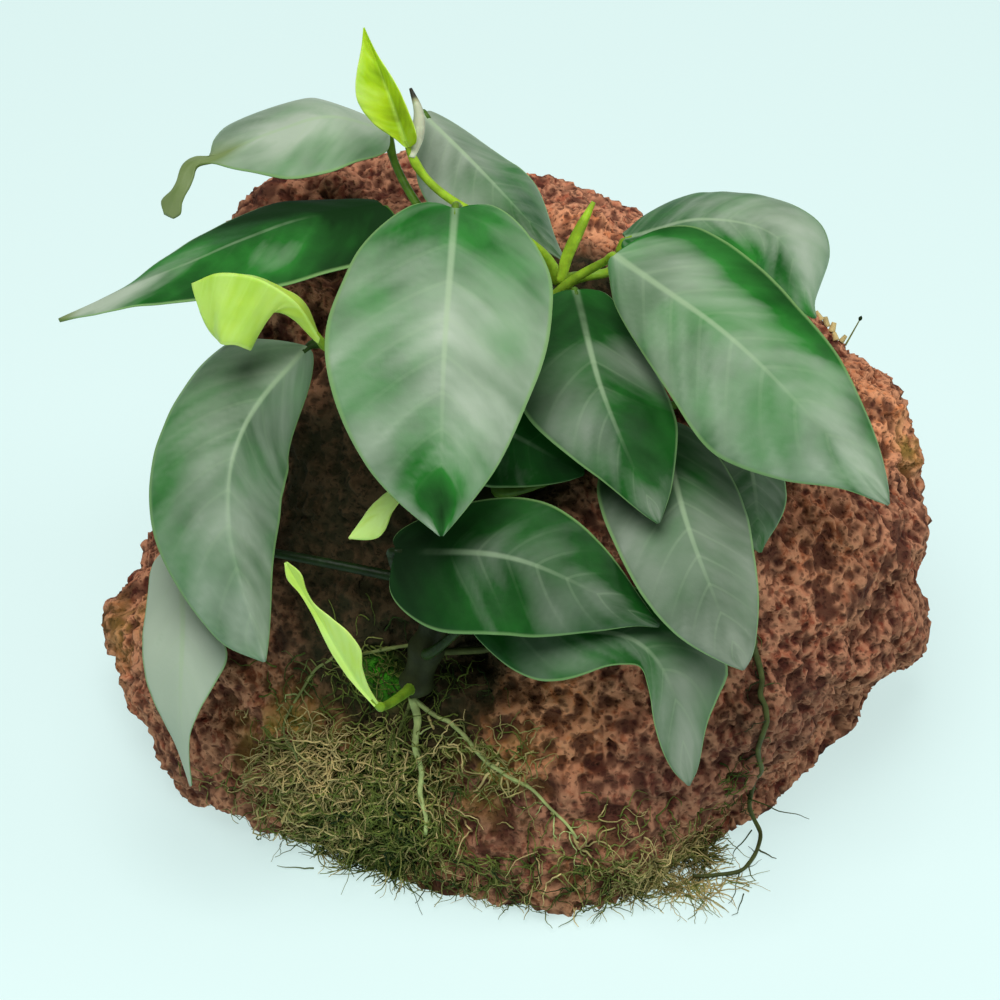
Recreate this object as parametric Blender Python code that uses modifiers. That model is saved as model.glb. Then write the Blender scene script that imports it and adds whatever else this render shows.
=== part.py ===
"""Anubias rooted on a lump of porous red lava rock, with moss along its foot.

Blender 4.5, metres, +Z up. The rock stands on z = 0 with the origin under its middle.
+X is the viewer's right and +Y points away from the viewer. Lengths and places in the
tables are millimetres.
"""

import math

import bmesh
import bpy
from mathutils import Vector, noise
from mathutils.bvhtree import BVHTree

MM = 0.001
GAP = 0.35 * MM

# The plant is laid out as it is seen: from the front, looking down by the tilt.
# A place is given as millimetres across, up the view, and out towards the viewer.
VIEW_TILT = math.radians(34)
VIEW_DISTANCE = 900
VIEW_CENTRE = Vector((-4, 0, 59))
ACROSS = Vector((1, 0, 0))
UP = Vector((0, math.sin(VIEW_TILT), math.cos(VIEW_TILT)))
OUT = Vector((0, -math.cos(VIEW_TILT), math.sin(VIEW_TILT)))

# The rock, level by level from under its foot to its crown: how far round the lump from
# pole to pole, the height, and its reach to the left, right, front and back.
ROCK_LEVELS = (
    (-1.0, -40, 0, 0, 0, 0),
    (-0.75, -8, -84, 81, -67, 58),
    (-0.55, 8, -94, 89, -72, 66),
    (-0.35, 26, -98, 94, -75, 72),
    (-0.15, 44, -88, 96, -74, 74),
    (0.05, 62, -81, 95, -69, 74),
    (0.22, 80, -66, 89, -61, 74),
    (0.38, 98, -62, 70, -48, 70),
    (0.54, 110, -64, 46, -34, 64),
    (0.72, 118, -58, 26, -16, 52),
    (0.86, 122, -36, 8, 0, 38),
    (1.0, 124, -14, -14, 18, 18),
)
ROCK_SQUARENESS = 2.3
ROCK_CUTS = 15

# Lumps and hollows of the rock: a place near the surface, reach, and height.
ROCK_LUMPS = (
    (Vector((-62, 54, 112)), 22, 6),
    (Vector((-30, 40, 122)), 24, 4),
    (Vector((26, 46, 112)), 22, -6),
    (Vector((99, -8, 28)), 13, 7),
    (Vector((101, -8, 48)), 9, -9),
    (Vector((92, -30, 6)), 14, -6),
    (Vector((90, 20, 78)), 20, 4),
    (Vector((76, -42, 10)), 26, -11),
    (Vector((46, -64, 2)), 20, -6),
    (Vector((-50, -60, 2)), 24, -7),
    (Vector((10, -74, 6)), 30, 8),
    (Vector((-24, -68, 58)), 30, -6),
    (Vector((40, -58, 44)), 22, 5),
    (Vector((-30, 62, 40)), 26, 6),
    (Vector((46, 60, 70)), 24, -6),
    (Vector((-84, 34, 66)), 22, -4),
)
ROUGHNESS = ((26, 4.6), (11, 2.8))
PIT_SPACING = 17
PIT_REACH = 0.42
PIT_DEPTH = 4.0

# The creeping rhizome on the rock's face, from its old end to its growing tip.
RHIZOME_PATH = ((-20, -47), (-14, -25), (-5, -4), (2, 18), (9, 38), (15, 50))
RHIZOME_RADIUS = 3.8
RHIZOME_RINGS = 18

LEAF_THICKNESS = 0.8
LEAF_ROWS = 9
LEAF_COLUMNS = 4
LOBE_LENGTH = 4.5
VEIN_SWEEP = 0.10

STALK_RADIUS = 1.15
STALK_POINTS = 7

FRESH = "fresh leaf"
GREEN = "leaf"


def outward(across, up, out):
    """A unit direction given in the view's own axes."""
    return (across * ACROSS + up * UP + out * OUT).normalized()


def seen(across, up, out):
    """The place, in metres, seen at this spot of the view and this far out."""
    nearer = 1 - out / VIEW_DISTANCE
    return (VIEW_CENTRE + nearer * (across * ACROSS + up * UP) + out * OUT) * MM


class Leaf:
    """One leaf: its midrib through places of the view, and how its blade lies."""

    def __init__(self, midrib, width, faces, lift, left, right, stem, arch=0.1, wave=0.6,
                 lobe=LOBE_LENGTH, kind=GREEN, reach=(14, 12), leave=None,
                 bend=(0.5, 0.85)):
        self.midrib = [seen(*place) for place in midrib]
        self.width = width * MM
        self.faces = outward(*faces)
        self.lift = [math.radians(angle) for angle in lift]
        self.outline = (left, right)
        self.stem = stem
        self.arch = arch
        self.wave = wave * MM
        self.lobe = lobe * MM
        self.kind = kind
        self.reach = [length * MM for length in reach]
        self.leave = leave
        self.bend = bend


# Each side's outline is its half width along the blade: shares of the length and of half
# the leaf's width, with a smooth curve between.
LEAVES = {
    "front": Leaf(
        ((-10.7, 69.5, 92), (-13.5, 30, 105), (-14, -8.6, 106)), 49, (0, 0.2, 1),
        lift=(-6, -6), lobe=7, stem=0.77,
        left=((0, 0.05), (0.03, 0.38), (0.09, 0.73), (0.15, 0.9), (0.29, 1.05),
              (0.46, 0.96), (0.7, 0.66), (0.84, 0.4), (1, 0.02)),
        right=((0, 0.05), (0.02, 0.3), (0.07, 0.64), (0.14, 0.87), (0.22, 0.91),
               (0.33, 0.87), (0.48, 0.73), (0.69, 0.5), (0.85, 0.26), (1, 0.02))),
    "left": Leaf(
        ((-46, 36.5, 74), (-61, 17, 88), (-64.5, -6, 92), (-56, -38.5, 88)), 45,
        (-0.2, 0.2, 0.97), lift=(-18, -58), arch=0.15, stem=0.41, bend=(1, 0.2),
        left=((0, 0.1), (0.02, 0.7), (0.06, 0.93), (0.2, 0.96), (0.35, 0.98),
              (0.55, 0.92), (0.7, 0.76), (0.85, 0.54), (0.93, 0.36), (1, 0.02)),
        right=((0, 0.05), (0.07, 0.34), (0.16, 0.54), (0.25, 0.66), (0.45, 0.67),
               (0.62, 0.63), (0.78, 0.4), (0.9, 0.2), (1, 0.02))),
    "left_low": Leaf(
        ((-76, -10, 60), (-75.5, -32, 70), (-76, -50, 70), (-73.6, -68, 62)), 21,
        (-0.3, 0.3, 0.9), lift=(-6, -10), stem=0.24, lobe=2, reach=(7, 10),
        left=((0, 0.1), (0.04, 0.7), (0.11, 0.87), (0.24, 1), (0.45, 0.86),
              (0.6, 0.56), (0.76, 0.25), (0.88, 0.12), (1, 0.02)),
        right=((0, 0.05), (0.17, 0.37), (0.25, 0.7), (0.33, 0.92), (0.42, 0.75),
               (0.6, 0.34), (0.7, 0.15), (0.85, 0.05), (1, 0.02))),
    "left_far": Leaf(
        ((-28, 70, 54), (-46, 67, 62), (-67, 59.5, 66), (-88, 50.5, 68), (-105, 42.8, 68)),
        36, (0, 0.85, 0.5), lift=(-8, -8), stem=0.7,
        left=((0, 0.1), (0.05, 0.67), (0.13, 0.9), (0.24, 1.08), (0.34, 0.93),
              (0.46, 0.66), (0.58, 0.38), (0.67, 0.14), (0.8, 0.05), (1, 0.02)),
        right=((0, 0.05), (0.03, 0.5), (0.1, 0.9), (0.2, 1), (0.35, 0.92),
               (0.52, 0.68), (0.7, 0.38), (0.9, 0.12), (1, 0.02))),
    "top_left": Leaf(
        ((-26.7, 88, 40), (-40, 91, 46), (-54, 87.5, 48), (-67, 81.6, 49),
         (-73.5, 79.5, 50), (-76.5, 74, 51), (-79, 67.5, 50)), 35, (0, 0.83, 0.56),
        lift=(-8, -12), stem=0.83, lobe=2, leave=(-0.9, 0.2, 0.3), bend=(0.3, 1),
        reach=(14, 12),
        left=((0, 0.1), (0.04, 0.95), (0.1, 1.3), (0.2, 1.08), (0.34, 0.92), (0.39, 0.55),
              (0.44, 0.09), (0.52, 0.18), (0.68, 0.09), (0.8, 0.12), (0.92, 0.25), (1, 0.08)),
        right=((0, 0.1), (0.03, 0.5), (0.11, 0.82), (0.18, 0.91), (0.28, 0.77),
               (0.36, 0.38), (0.44, 0.08), (0.65, 0.14), (0.85, 0.12), (0.94, 0.15),
               (1, 0.08))),
    "top_right": Leaf(
        ((-18, 92, 43), (-3.4, 77.5, 50), (15.5, 57, 47)), 33, (-0.1, 0.1, 1),
        lift=(-8, -66), stem=0.92, leave=(-0.4, 0.8, -0.1), bend=(0.2, 1), reach=(12, 12),
        left=((0, 0.1), (0.08, 0.35), (0.14, 0.59), (0.22, 0.77), (0.35, 0.85),
              (0.5, 0.7), (0.7, 0.35), (0.85, 0.15), (1, 0.02)),
        right=((0, 0.1), (0.065, 0.49), (0.12, 0.69), (0.19, 0.84), (0.3, 1.01),
               (0.52, 1.19), (0.63, 1.15), (0.72, 0.92), (0.87, 0.34), (1, 0.02))),
    "right_front": Leaf(
        ((27.4, 58.3, 70), (59, 35, 90), (92.6, -1, 84)), 41, (0.1, 0.15, 1),
        lift=(-8, -22), stem=0.87,
        left=((0, 0.03), (0.04, 0.2), (0.09, 0.43), (0.2, 0.67), (0.34, 0.87),
              (0.47, 0.99), (0.56, 0.95), (0.71, 0.65), (0.85, 0.26), (1, 0.02)),
        right=((0, 0.05), (0.01, 0.46), (0.045, 0.93), (0.09, 1.06), (0.2, 1.06),
               (0.39, 0.93), (0.58, 0.83), (0.7, 0.67), (0.85, 0.43), (0.95, 0.19),
               (1, 0.02))),
    "right_back": Leaf(
        ((29.8, 62.4, 48), (48, 66.5, 53), (66, 62.5, 53), (75, 43.3, 50)), 41,
        (0.2, 0.78, 0.6), lift=(-4, -6), stem=0.99, leave=(0.8, 0.2, 0.8),
        left=((0, 0.05), (0.05, 0.25), (0.15, 0.45), (0.3, 0.6), (0.42, 0.68), (0.6, 0.7),
              (0.8, 0.5), (1, 0.02)),
        right=((0, 0.05), (0.04, 0.2), (0.083, 0.55), (0.14, 0.83), (0.22, 0.98),
               (0.4, 1), (0.55, 1.06), (0.65, 1.04), (0.76, 0.78), (0.85, 0.42),
               (0.93, 0.12), (1, 0.02))),
    "middle": Leaf(
        ((18, 50, 62), (25, 24, 86), (37.8, -5.5, 89)), 36, (0.1, 0.25, 0.95),
        lift=(-8, -14), stem=0.63,
        left=((0, 0.05), (0.03, 0.35), (0.1, 0.7), (0.2, 0.95), (0.3, 1), (0.4, 0.92),
              (0.54, 0.66), (0.7, 0.39), (0.93, 0.12), (1, 0.02)),
        right=((0, 0.05), (0.02, 0.35), (0.07, 0.54), (0.23, 0.79), (0.35, 0.84),
               (0.52, 0.82), (0.63, 0.75), (0.85, 0.38), (0.94, 0.17), (1, 0.02))),
    "right_low": Leaf(
        ((38, 18, 68), (46, -10, 85), (58, -40.5, 87)), 31, (0.15, 0.2, 0.95),
        lift=(-8, -12), stem=0.46,
        left=((0, 0.05), (0.05, 0.6), (0.1, 0.9), (0.18, 1.08), (0.33, 1.05),
              (0.53, 0.9), (0.73, 0.64), (0.93, 0.22), (1, 0.02)),
        right=((0, 0.05), (0.05, 0.5), (0.15, 0.9), (0.28, 0.99), (0.43, 0.92),
               (0.69, 0.67), (0.89, 0.35), (0.96, 0.18), (1, 0.02))),
    "right_behind": Leaf(
        ((56, 25, 58), (60, 6, 65), (62, -12.5, 66)), 27, (0.3, 0.2, 0.9),
        lift=(-8, -10), stem=0.56,
        left=((0, 0.05), (0.08, 0.5), (0.2, 0.85), (0.34, 1), (0.55, 0.87), (0.75, 0.55),
              (0.9, 0.25), (1, 0.02)),
        right=((0, 0.05), (0.1, 0.4), (0.25, 0.6), (0.45, 0.64), (0.6, 0.58),
               (0.75, 0.4), (0.91, 0.14), (1, 0.02))),
    "lower": Leaf(
        ((-25, -12, 84), (5, -14.5, 91), (37.8, -30, 82)), 36, (0, 0.25, 0.95),
        lift=(-10, -6), stem=0.18, reach=(7, 6),
        left=((0, 0.1), (0.02, 0.45), (0.09, 0.8), (0.17, 0.94), (0.32, 0.94),
              (0.45, 0.88), (0.57, 0.76), (0.77, 0.38), (0.9, 0.13), (1, 0.02)),
        right=((0, 0.05), (0.05, 0.3), (0.12, 0.5), (0.24, 0.7), (0.38, 0.82),
               (0.49, 0.79), (0.68, 0.54), (0.9, 0.18), (1, 0.02))),
    "lower_right": Leaf(
        ((-7, -28.6, 74), (14.3, -30.5, 80), (32, -33.5, 80), (41, -45.5, 80),
         (45, -68, 77)), 26, (0.1, 0.3, 0.9), lift=(-8, -10), stem=0.11, lobe=2,
        reach=(5, 5),
        left=((0, 0.1), (0.09, 0.68), (0.15, 0.87), (0.21, 0.85), (0.32, 0.59),
              (0.42, 0.44), (0.5, 0.29), (0.6, 0.34), (0.75, 0.42), (0.86, 0.36),
              (0.94, 0.22), (1, 0.02)),
        right=((0, 0.1), (0.1, 0.5), (0.2, 0.8), (0.35, 1), (0.5, 1.05), (0.62, 1.15),
               (0.68, 1.1), (0.73, 0.8), (0.8, 0.5), (0.95, 0.2), (1, 0.02))),
    "behind_front": Leaf(
        ((-11, 22, 77), (5, 14.5, 77), (20, 6, 76)), 28, (0, 0.1, 0.98),
        lift=(-8, -8), stem=0.51, reach=(6, 6),
        left=((0, 0.05), (0.1, 0.6), (0.2, 0.85), (0.33, 0.91), (0.49, 0.75),
              (0.74, 0.43), (0.91, 0.18), (1, 0.02)),
        right=((0, 0.05), (0.08, 0.5), (0.2, 0.85), (0.34, 1), (0.55, 0.87), (0.75, 0.55),
               (0.9, 0.25), (1, 0.02))),
    "small_left": Leaf(
        ((-17, 11, 80), (-25, 0, 84), (-36, -9.2, 84)), 12, (-0.2, 0.3, 0.9),
        lift=(-6, -6), stem=0.33, lobe=1, kind=FRESH, reach=(6, 6),
        left=((0, 0.05), (0.3, 0.4), (0.58, 0.5), (0.8, 0.25), (1, 0.02)),
        right=((0, 0.05), (0.3, 0.12), (0.5, 0.25), (0.62, 0.56), (0.72, 0.64),
               (0.84, 0.45), (1, 0.02))),
    "new_top": Leaf(
        ((-22, 84, 62), (-26.5, 97, 66), (-32.4, 112.5, 68)), 15, (-0.2, -0.2, 1),
        lift=(40, 34), stem=0.97, lobe=0.5, arch=0.0, kind=FRESH,
        leave=(-0.2, 0.2, 1), bend=(1, 0), reach=(22, 18),
        left=((0, 0.1), (0.04, 0.48), (0.13, 0.64), (0.35, 0.59), (0.46, 0.49),
              (0.69, 0.17), (0.85, 0.07), (1, 0.02)),
        right=((0, 0.05), (0.1, 0.32), (0.2, 0.68), (0.3, 0.91), (0.42, 1.02),
               (0.53, 0.91), (0.81, 0.32), (1, 0.02))),
    "new_left": Leaf(
        ((-43, 38.5, 84), (-49, 47, 90), (-58, 52.5, 95), (-68, 53, 96), (-73.5, 48, 94)),
        30, (-0.1, 0.3, 0.95), lift=(-70, -25), stem=0.57, lobe=0.5, kind=FRESH,
        bend=(0.8, 0.5),
        left=((0, 0.1), (0.1, 0.35), (0.3, 0.45), (0.6, 0.45), (0.9, 0.4), (1, 0.2)),
        right=((0, 0.15), (0.06, 0.4), (0.1, 0.7), (0.14, 0.85), (0.2, 0.72), (0.3, 0.78),
               (0.45, 0.78), (0.65, 0.66), (0.85, 0.5), (1, 0.4))),
    "new_low": Leaf(
        ((-29.5, -48.8, 76), (-33.8, -43.8, 77), (-38, -37, 78), (-42.4, -29, 79),
         (-46.4, -22.6, 80), (-51, -14.8, 80)), 13, (-0.3, 0.1, 0.95), lift=(20, 30),
        stem=0.03, lobe=0.5, kind=FRESH, reach=(3, 4),
        left=((0, 0.1), (0.1, 0.24), (0.22, 0.52), (0.3, 0.84), (0.4, 0.76), (0.5, 0.42),
              (0.62, 0.14), (0.75, 0.14), (0.87, 0.3), (1, 0.06)),
        right=((0, 0.1), (0.13, 0.12), (0.24, 0.2), (0.36, 0.24), (0.6, 0.15),
               (0.76, 0.14), (0.89, 0.26), (1, 0.06))),
}

# Roots: the share along the rhizome where each leaves it, its radius, and the places of
# the view that it passes.
ROOTS = {
    "root_front": (0.0, 1.1, ((-19.5, -53), (-20, -60), (-19.2, -70), (-18, -80))),
    "root_left": (0.0, 0.8, ((-22.5, -52.5), (-26, -58), (-30.5, -64), (-36.5, -71.5))),
    "root_right": (0.0, 0.9, ((-16, -51), (-9, -55), (-3, -63), (5, -67), (12, -73.5),
                              (18, -80))),
    "root_far_left": (0.12, 0.6, ((-30, -36), (-41, -37.5), (-47.5, -45.5), (-51, -53),
                                  (-49.5, -61), (-44, -69))),
    "root_loop": (0.1, 1.0, ((-4, -36), (10, -30), (30, -24), (48, -24), (58, -30),
                             (61.5, -40), (62, -50), (61.5, -60), (61, -70), (62, -79),
                             (58.6, -86.4), (51, -88.6), (46, -87.5))),
}

# The rolled new shoot at the rhizome's tip: places of the view, and its radii.
SHOOT = ((14.5, 52, 52), (16, 58, 54), (19, 64.5, 56), (22.3, 71, 57))
SHOOT_RADII = (1.1, 1.35, 1.25, 0.5)

# Moss: the middle of each patch in the view, its reach each way, and its thickness.
MOSS = {
    "moss_front": ((-31.5, -72.5), (29, 20), 5.0),
    "moss_foot": ((22, -88), (39, 8.5), 3.5),
}
ROOT_CLEAR = 1.35
ROOT_STEP = 6.8
MOSS_CELLS = (11, 10)
MOSS_CLEAR = 2.5
MOSS_SPRING = 1.2
MOSS_SMOOTHING = 8


def smooth_path(points, at):
    """The place at share 0 to 1 of a smooth curve through the points."""
    spans = len(points) - 1
    at = min(max(at, 0.0), 1.0) * spans
    i = min(int(at), spans - 1)
    t = at - i
    before = points[i - 1] if i else 2 * points[0] - points[1]
    after = points[i + 2] if i + 2 <= spans else 2 * points[-1] - points[-2]
    a, b = points[i], points[i + 1]
    return 0.5 * (2 * a + (b - before) * t + (2 * before - 5 * a + 4 * b - after) * t**2
                  + (3 * a - before - 3 * b + after) * t**3)


def path_direction(points, at, step=0.02):
    """The unit direction of the smooth curve at that share."""
    ahead = smooth_path(points, min(at + step, 1))
    behind = smooth_path(points, max(at - step, 0))
    return (ahead - behind).normalized()


def material(name, colour, roughness):
    """A plain material with the colour of the real surface."""
    made = bpy.data.materials.new(name)
    made.use_nodes = True
    shader = made.node_tree.nodes["Principled BSDF"]
    shader.inputs["Base Color"].default_value = (*colour, 1)
    shader.inputs["Roughness"].default_value = roughness
    made.diffuse_color = (*colour, 1)
    return made


def add_object(name, data, finish):
    """An object for this mesh or curve, in the collection of the part."""
    made = bpy.data.objects.new(name, data)
    data.materials.append(finish)
    bpy.data.collections["anubias_on_rock"].objects.link(made)
    return made


def mesh_of(bm, name, smooth=False):
    """A mesh from the worked shape, shaded smooth or by its facets."""
    for face in bm.faces:
        face.smooth = smooth
    data = bpy.data.meshes.new(name)
    bm.to_mesh(data)
    bm.free()
    return data


def add_tube(name, points, radii, finish, bevel_resolution=1):
    """A round stem through the points, with flat ends."""
    data = bpy.data.curves.new(name, "CURVE")
    data.dimensions = "3D"
    data.bevel_depth = max(radii)
    data.bevel_resolution = bevel_resolution
    data.use_fill_caps = True
    spline = data.splines.new("POLY")
    spline.points.add(len(points) - 1)
    for spot, place, radius in zip(spline.points, points, radii):
        spot.co = (*place, 1)
        spot.radius = radius / max(radii)
    return add_object(name, data, finish)


def level_of_rock(turn):
    """The rock's height and reaches at this share of the way from pole to pole."""
    for low, high in zip(ROCK_LEVELS, ROCK_LEVELS[1:]):
        if turn <= high[0]:
            t = (turn - low[0]) / (high[0] - low[0])
            return [a + (b - a) * t for a, b in zip(low[1:], high[1:])]
    return ROCK_LEVELS[-1][1:]


def rock_surface(direction):
    """The rock's surface, in metres, for this direction of a ball round its middle."""
    height, left, right, front, back = level_of_rock(math.asin(direction.z) * 2 / math.pi)
    way = math.atan2(direction.y, direction.x)
    x, y = math.cos(way), math.sin(way)
    corner = (abs(x) ** ROCK_SQUARENESS + abs(y) ** ROCK_SQUARENESS) ** (-1 / ROCK_SQUARENESS)
    place = Vector(((left + right) / 2 + x * corner * (right - left) / 2,
                    (front + back) / 2 + y * corner * (back - front) / 2, height))
    swell = 0
    for centre, reach, rise in ROCK_LUMPS:
        swell += rise * math.exp(-((place - centre).length / reach) ** 2)
    for size, rise in ROUGHNESS:
        swell += rise * noise.fractal(place / size, 0.8, 2.0, 2)
    nearest = noise.voronoi(place / PIT_SPACING)[0][0]
    swell -= PIT_DEPTH * max(0, 1 - nearest / PIT_REACH)
    away = Vector((place.x / 96, place.y / 72, (place.z - 58) / 70)).normalized()
    return (place + away * swell) * MM


def build_rock(name, finish):
    """A lump shaped from a cube of grids, cut off flat where it stands."""
    bm = bmesh.new()
    bmesh.ops.create_cube(bm, size=2)
    bmesh.ops.subdivide_edges(bm, edges=bm.edges[:], cuts=ROCK_CUTS, use_grid_fill=True)
    for vertex in bm.verts:
        even = Vector([math.tan(value * math.pi / 4) for value in vertex.co])
        vertex.co = rock_surface(even.normalized())
    everything = bm.verts[:] + bm.edges[:] + bm.faces[:]
    cut = bmesh.ops.bisect_plane(bm, geom=everything, plane_co=(0, 0, 0),
                                 plane_no=(0, 0, 1), clear_inner=True)
    rim = [piece for piece in cut["geom_cut"] if isinstance(piece, bmesh.types.BMEdge)]
    bmesh.ops.holes_fill(bm, edges=rim)
    bmesh.ops.triangulate(bm, faces=bm.faces[:])
    return add_object(name, mesh_of(bm, name), finish)


class Ground:
    """The rock, the moss on it and the table under it, for laying things on."""

    def __init__(self):
        self.trees = []

    def add(self, thing):
        bpy.context.view_layer.update()
        graph = bpy.context.evaluated_depsgraph_get()
        self.trees.append(BVHTree.FromObject(thing, graph))

    def under_sight(self, across, up, height):
        """The place on the ground that is seen here, raised by this height."""
        eye = seen(0, 0, VIEW_DISTANCE)
        sight = (seen(across, up, 0) - eye).normalized()
        share = (height - eye.z) / sight.z
        place, normal = eye + sight * share, Vector((0, 0, 1))
        for i, tree in enumerate(self.trees):
            hit, face, _, distance = tree.ray_cast(eye, sight)
            if hit is not None and distance < share and hit.z > 0:
                rise = height + MOSS_SPRING * MM * min(i, 1)
                place, normal, share = hit + face * rise, face, distance
        return place, normal

    def over_ground(self, across, up, height):
        """The place seen here, as far out as the ground close above and below it."""
        near = [self.under_sight(across, up + step, height)[0] for step in (-2, 0, 2)]
        return seen(across, up, max((place / MM - VIEW_CENTRE).dot(OUT) for place in near))

    def lifted_clear(self, place, height, over_table):
        """The place moved off the rock and the table until it is this far from them."""
        near, normal, _, _ = self.trees[0].find_nearest(place)
        away = (place - near).dot(normal)
        if away < height:
            place = place + normal * (height - away)
        return Vector((place.x, place.y, max(place.z, over_table)))


def build_moss(name, centre, reach, thickness, ground, finish):
    """A lumpy mat of moss laid over the rock and the table."""
    bm = bmesh.new()
    bmesh.ops.create_grid(bm, x_segments=MOSS_CELLS[0], y_segments=MOSS_CELLS[1], size=1)
    fills = []
    for vertex in bm.verts:
        x, y, _ = vertex.co
        round_x, round_y = x * math.sqrt(1 - y * y / 2), y * math.sqrt(1 - x * x / 2)
        vertex.co, _ = ground.under_sight(centre[0] + reach[0] * round_x,
                                          centre[1] + reach[1] * round_y, 0)
        fill = 1 - (round_x**2 + round_y**2) ** 1.2
        fills.append(max(0.15, fill * (0.8 + 0.4 * noise.noise(Vector((x * 4, y * 4, 0))))))
    for _ in range(MOSS_SMOOTHING):
        bmesh.ops.smooth_vert(bm, verts=bm.verts[:], factor=0.5, use_axis_x=True,
                              use_axis_y=True, use_axis_z=True)
        for vertex in bm.verts:
            vertex.co = ground.lifted_clear(vertex.co, MOSS_CLEAR * MM, 0)
    bm.normal_update()
    if sum((vertex.normal for vertex in bm.verts), Vector()).dot(OUT) < 0:
        bmesh.ops.reverse_faces(bm, faces=bm.faces[:])
        bm.normal_update()
    tops = {tuple(vertex.co): vertex.co + vertex.normal * (thickness * fill * MM)
            for vertex, fill in zip(bm.verts, fills)}
    upper = bmesh.ops.extrude_face_region(bm, geom=bm.faces[:])["geom"]
    for vertex in upper:
        if isinstance(vertex, bmesh.types.BMVert):
            vertex.co = tops[tuple(vertex.co)]
    bmesh.ops.recalc_face_normals(bm, faces=bm.faces[:])
    return add_object(name, mesh_of(bm, name, True), finish)


def outline_width(leaf, share, side):
    """The half width at this share of the length, as a share of half the leaf's width."""
    stops = leaf.outline[side]
    last = len(stops) - 1
    i = max(k for k in range(last) if stops[k][0] <= share)
    slopes = []
    for k in (i, i + 1):
        before, after = stops[max(k - 1, 0)], stops[min(k + 1, last)]
        slopes.append((after[1] - before[1]) / (after[0] - before[0]))
    run = stops[i + 1][0] - stops[i][0]
    t = (share - stops[i][0]) / run
    return (stops[i][1] * (1 + 2 * t) * (1 - t) ** 2 + stops[i + 1][1] * t * t * (3 - 2 * t)
            + run * t * (1 - t) * (slopes[0] * (1 - t) - slopes[1] * t))


def blade_frame(leaf, share):
    """The midrib's place and the blade's own side and face directions there."""
    along = path_direction(leaf.midrib, share)
    side = leaf.faces.cross(along).normalized()
    return smooth_path(leaf.midrib, share), along, side, along.cross(side).normalized()


def blade_point(leaf, share, across):
    """A point of the blade's surface: share along it, and -1 to 1 across it."""
    half = leaf.width / 2 * outline_width(leaf, share, 0 if across < 0 else 1)
    sweep = VEIN_SWEEP * math.sin(math.pi * share) * abs(across) ** 1.5
    place, along, side, face = blade_frame(leaf, share + sweep)
    lobe = leaf.lobe * (1 - share) ** 8 * (1 - math.exp(-45 * share)) * abs(across)
    lift = leaf.lift[0] if across < 0 else leaf.lift[1]
    out = half * abs(across)
    rise = (out * math.sin(lift) - leaf.arch * out * out / (leaf.width / 2)
            + leaf.wave * math.sin(9 * share + 2 * across) * across**2 * min(1, half / MM / 8))
    return place - along * lobe + side * math.copysign(out * math.cos(lift), across) + face * rise


def build_blade(name, leaf, finish):
    """A leaf blade: a grid laid along the midrib and given the leaf's thickness."""
    bm = bmesh.new()
    bmesh.ops.create_grid(bm, x_segments=LEAF_ROWS, y_segments=LEAF_COLUMNS, size=1)
    for vertex in bm.verts:
        share = ((vertex.co.x + 1) / 2) ** 1.4
        vertex.co = blade_point(leaf, share, vertex.co.y)
    bmesh.ops.remove_doubles(bm, verts=bm.verts[:], dist=0.02 * MM)
    made = add_object("leaf_" + name, mesh_of(bm, "leaf_" + name, True), finish)
    shell = made.modifiers.new("thickness", "SOLIDIFY")
    shell.thickness = LEAF_THICKNESS * MM
    shell.offset = 0
    return made


def rhizome_points(ground):
    """The rhizome's middle line, laid on the rock's face."""
    height = RHIZOME_RADIUS * MM + 2 * GAP
    return [ground.under_sight(*place, height)[0] for place in RHIZOME_PATH]


def build_rhizome(line, ground, finish):
    """A thick creeping stem with the rings of old leaf scars."""
    points, radii = [], []
    for i in range(RHIZOME_RINGS + 1):
        share = i / RHIZOME_RINGS
        radius = RHIZOME_RADIUS * (1 - 0.25 * share) * (1 if i % 2 else 0.88)
        if i in (0, RHIZOME_RINGS):
            radius *= 0.55
        radii.append(radius * MM)
        clear = RHIZOME_RADIUS * MM + GAP
        points.append(ground.lifted_clear(smooth_path(line, share), clear, clear))
    return add_tube("rhizome", points, radii, finish, bevel_resolution=2)


def build_stalk(name, leaf, line, ground, finish):
    """A leaf stalk that rises from the rhizome and turns over into the blade."""
    place, along, _, face = blade_frame(leaf, 0)
    top_radius = STALK_RADIUS * 0.75 * MM
    end = place - along * top_radius - face * (LEAF_THICKNESS / 2 * MM + top_radius + GAP)
    root = smooth_path(line, leaf.stem)
    creep = path_direction(line, leaf.stem)
    _, off_rock, _, _ = ground.trees[0].find_nearest(root)
    lean = outward(*leaf.leave) if leaf.leave else (end - root).normalized() + off_rock * 0.9
    lean = (lean - creep * lean.dot(creep)).normalized()
    start = root + lean * (RHIZOME_RADIUS * MM + STALK_RADIUS * MM * 0.6 + GAP)
    arrive = (along * leaf.bend[0] + face * leaf.bend[1]).normalized()
    handles = (start, start + lean * leaf.reach[0], end - arrive * leaf.reach[1], end)
    points, radii = [], []
    for i in range(STALK_POINTS):
        t = i / (STALK_POINTS - 1)
        weights = ((1 - t) ** 3, 3 * t * (1 - t) ** 2, 3 * t * t * (1 - t), t**3)
        points.append(sum((w * h for w, h in zip(weights, handles)), Vector()))
        radii.append(STALK_RADIUS * MM * (1.25 - 0.5 * t))
    return add_tube("stalk_" + name, points, radii, finish)


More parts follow.
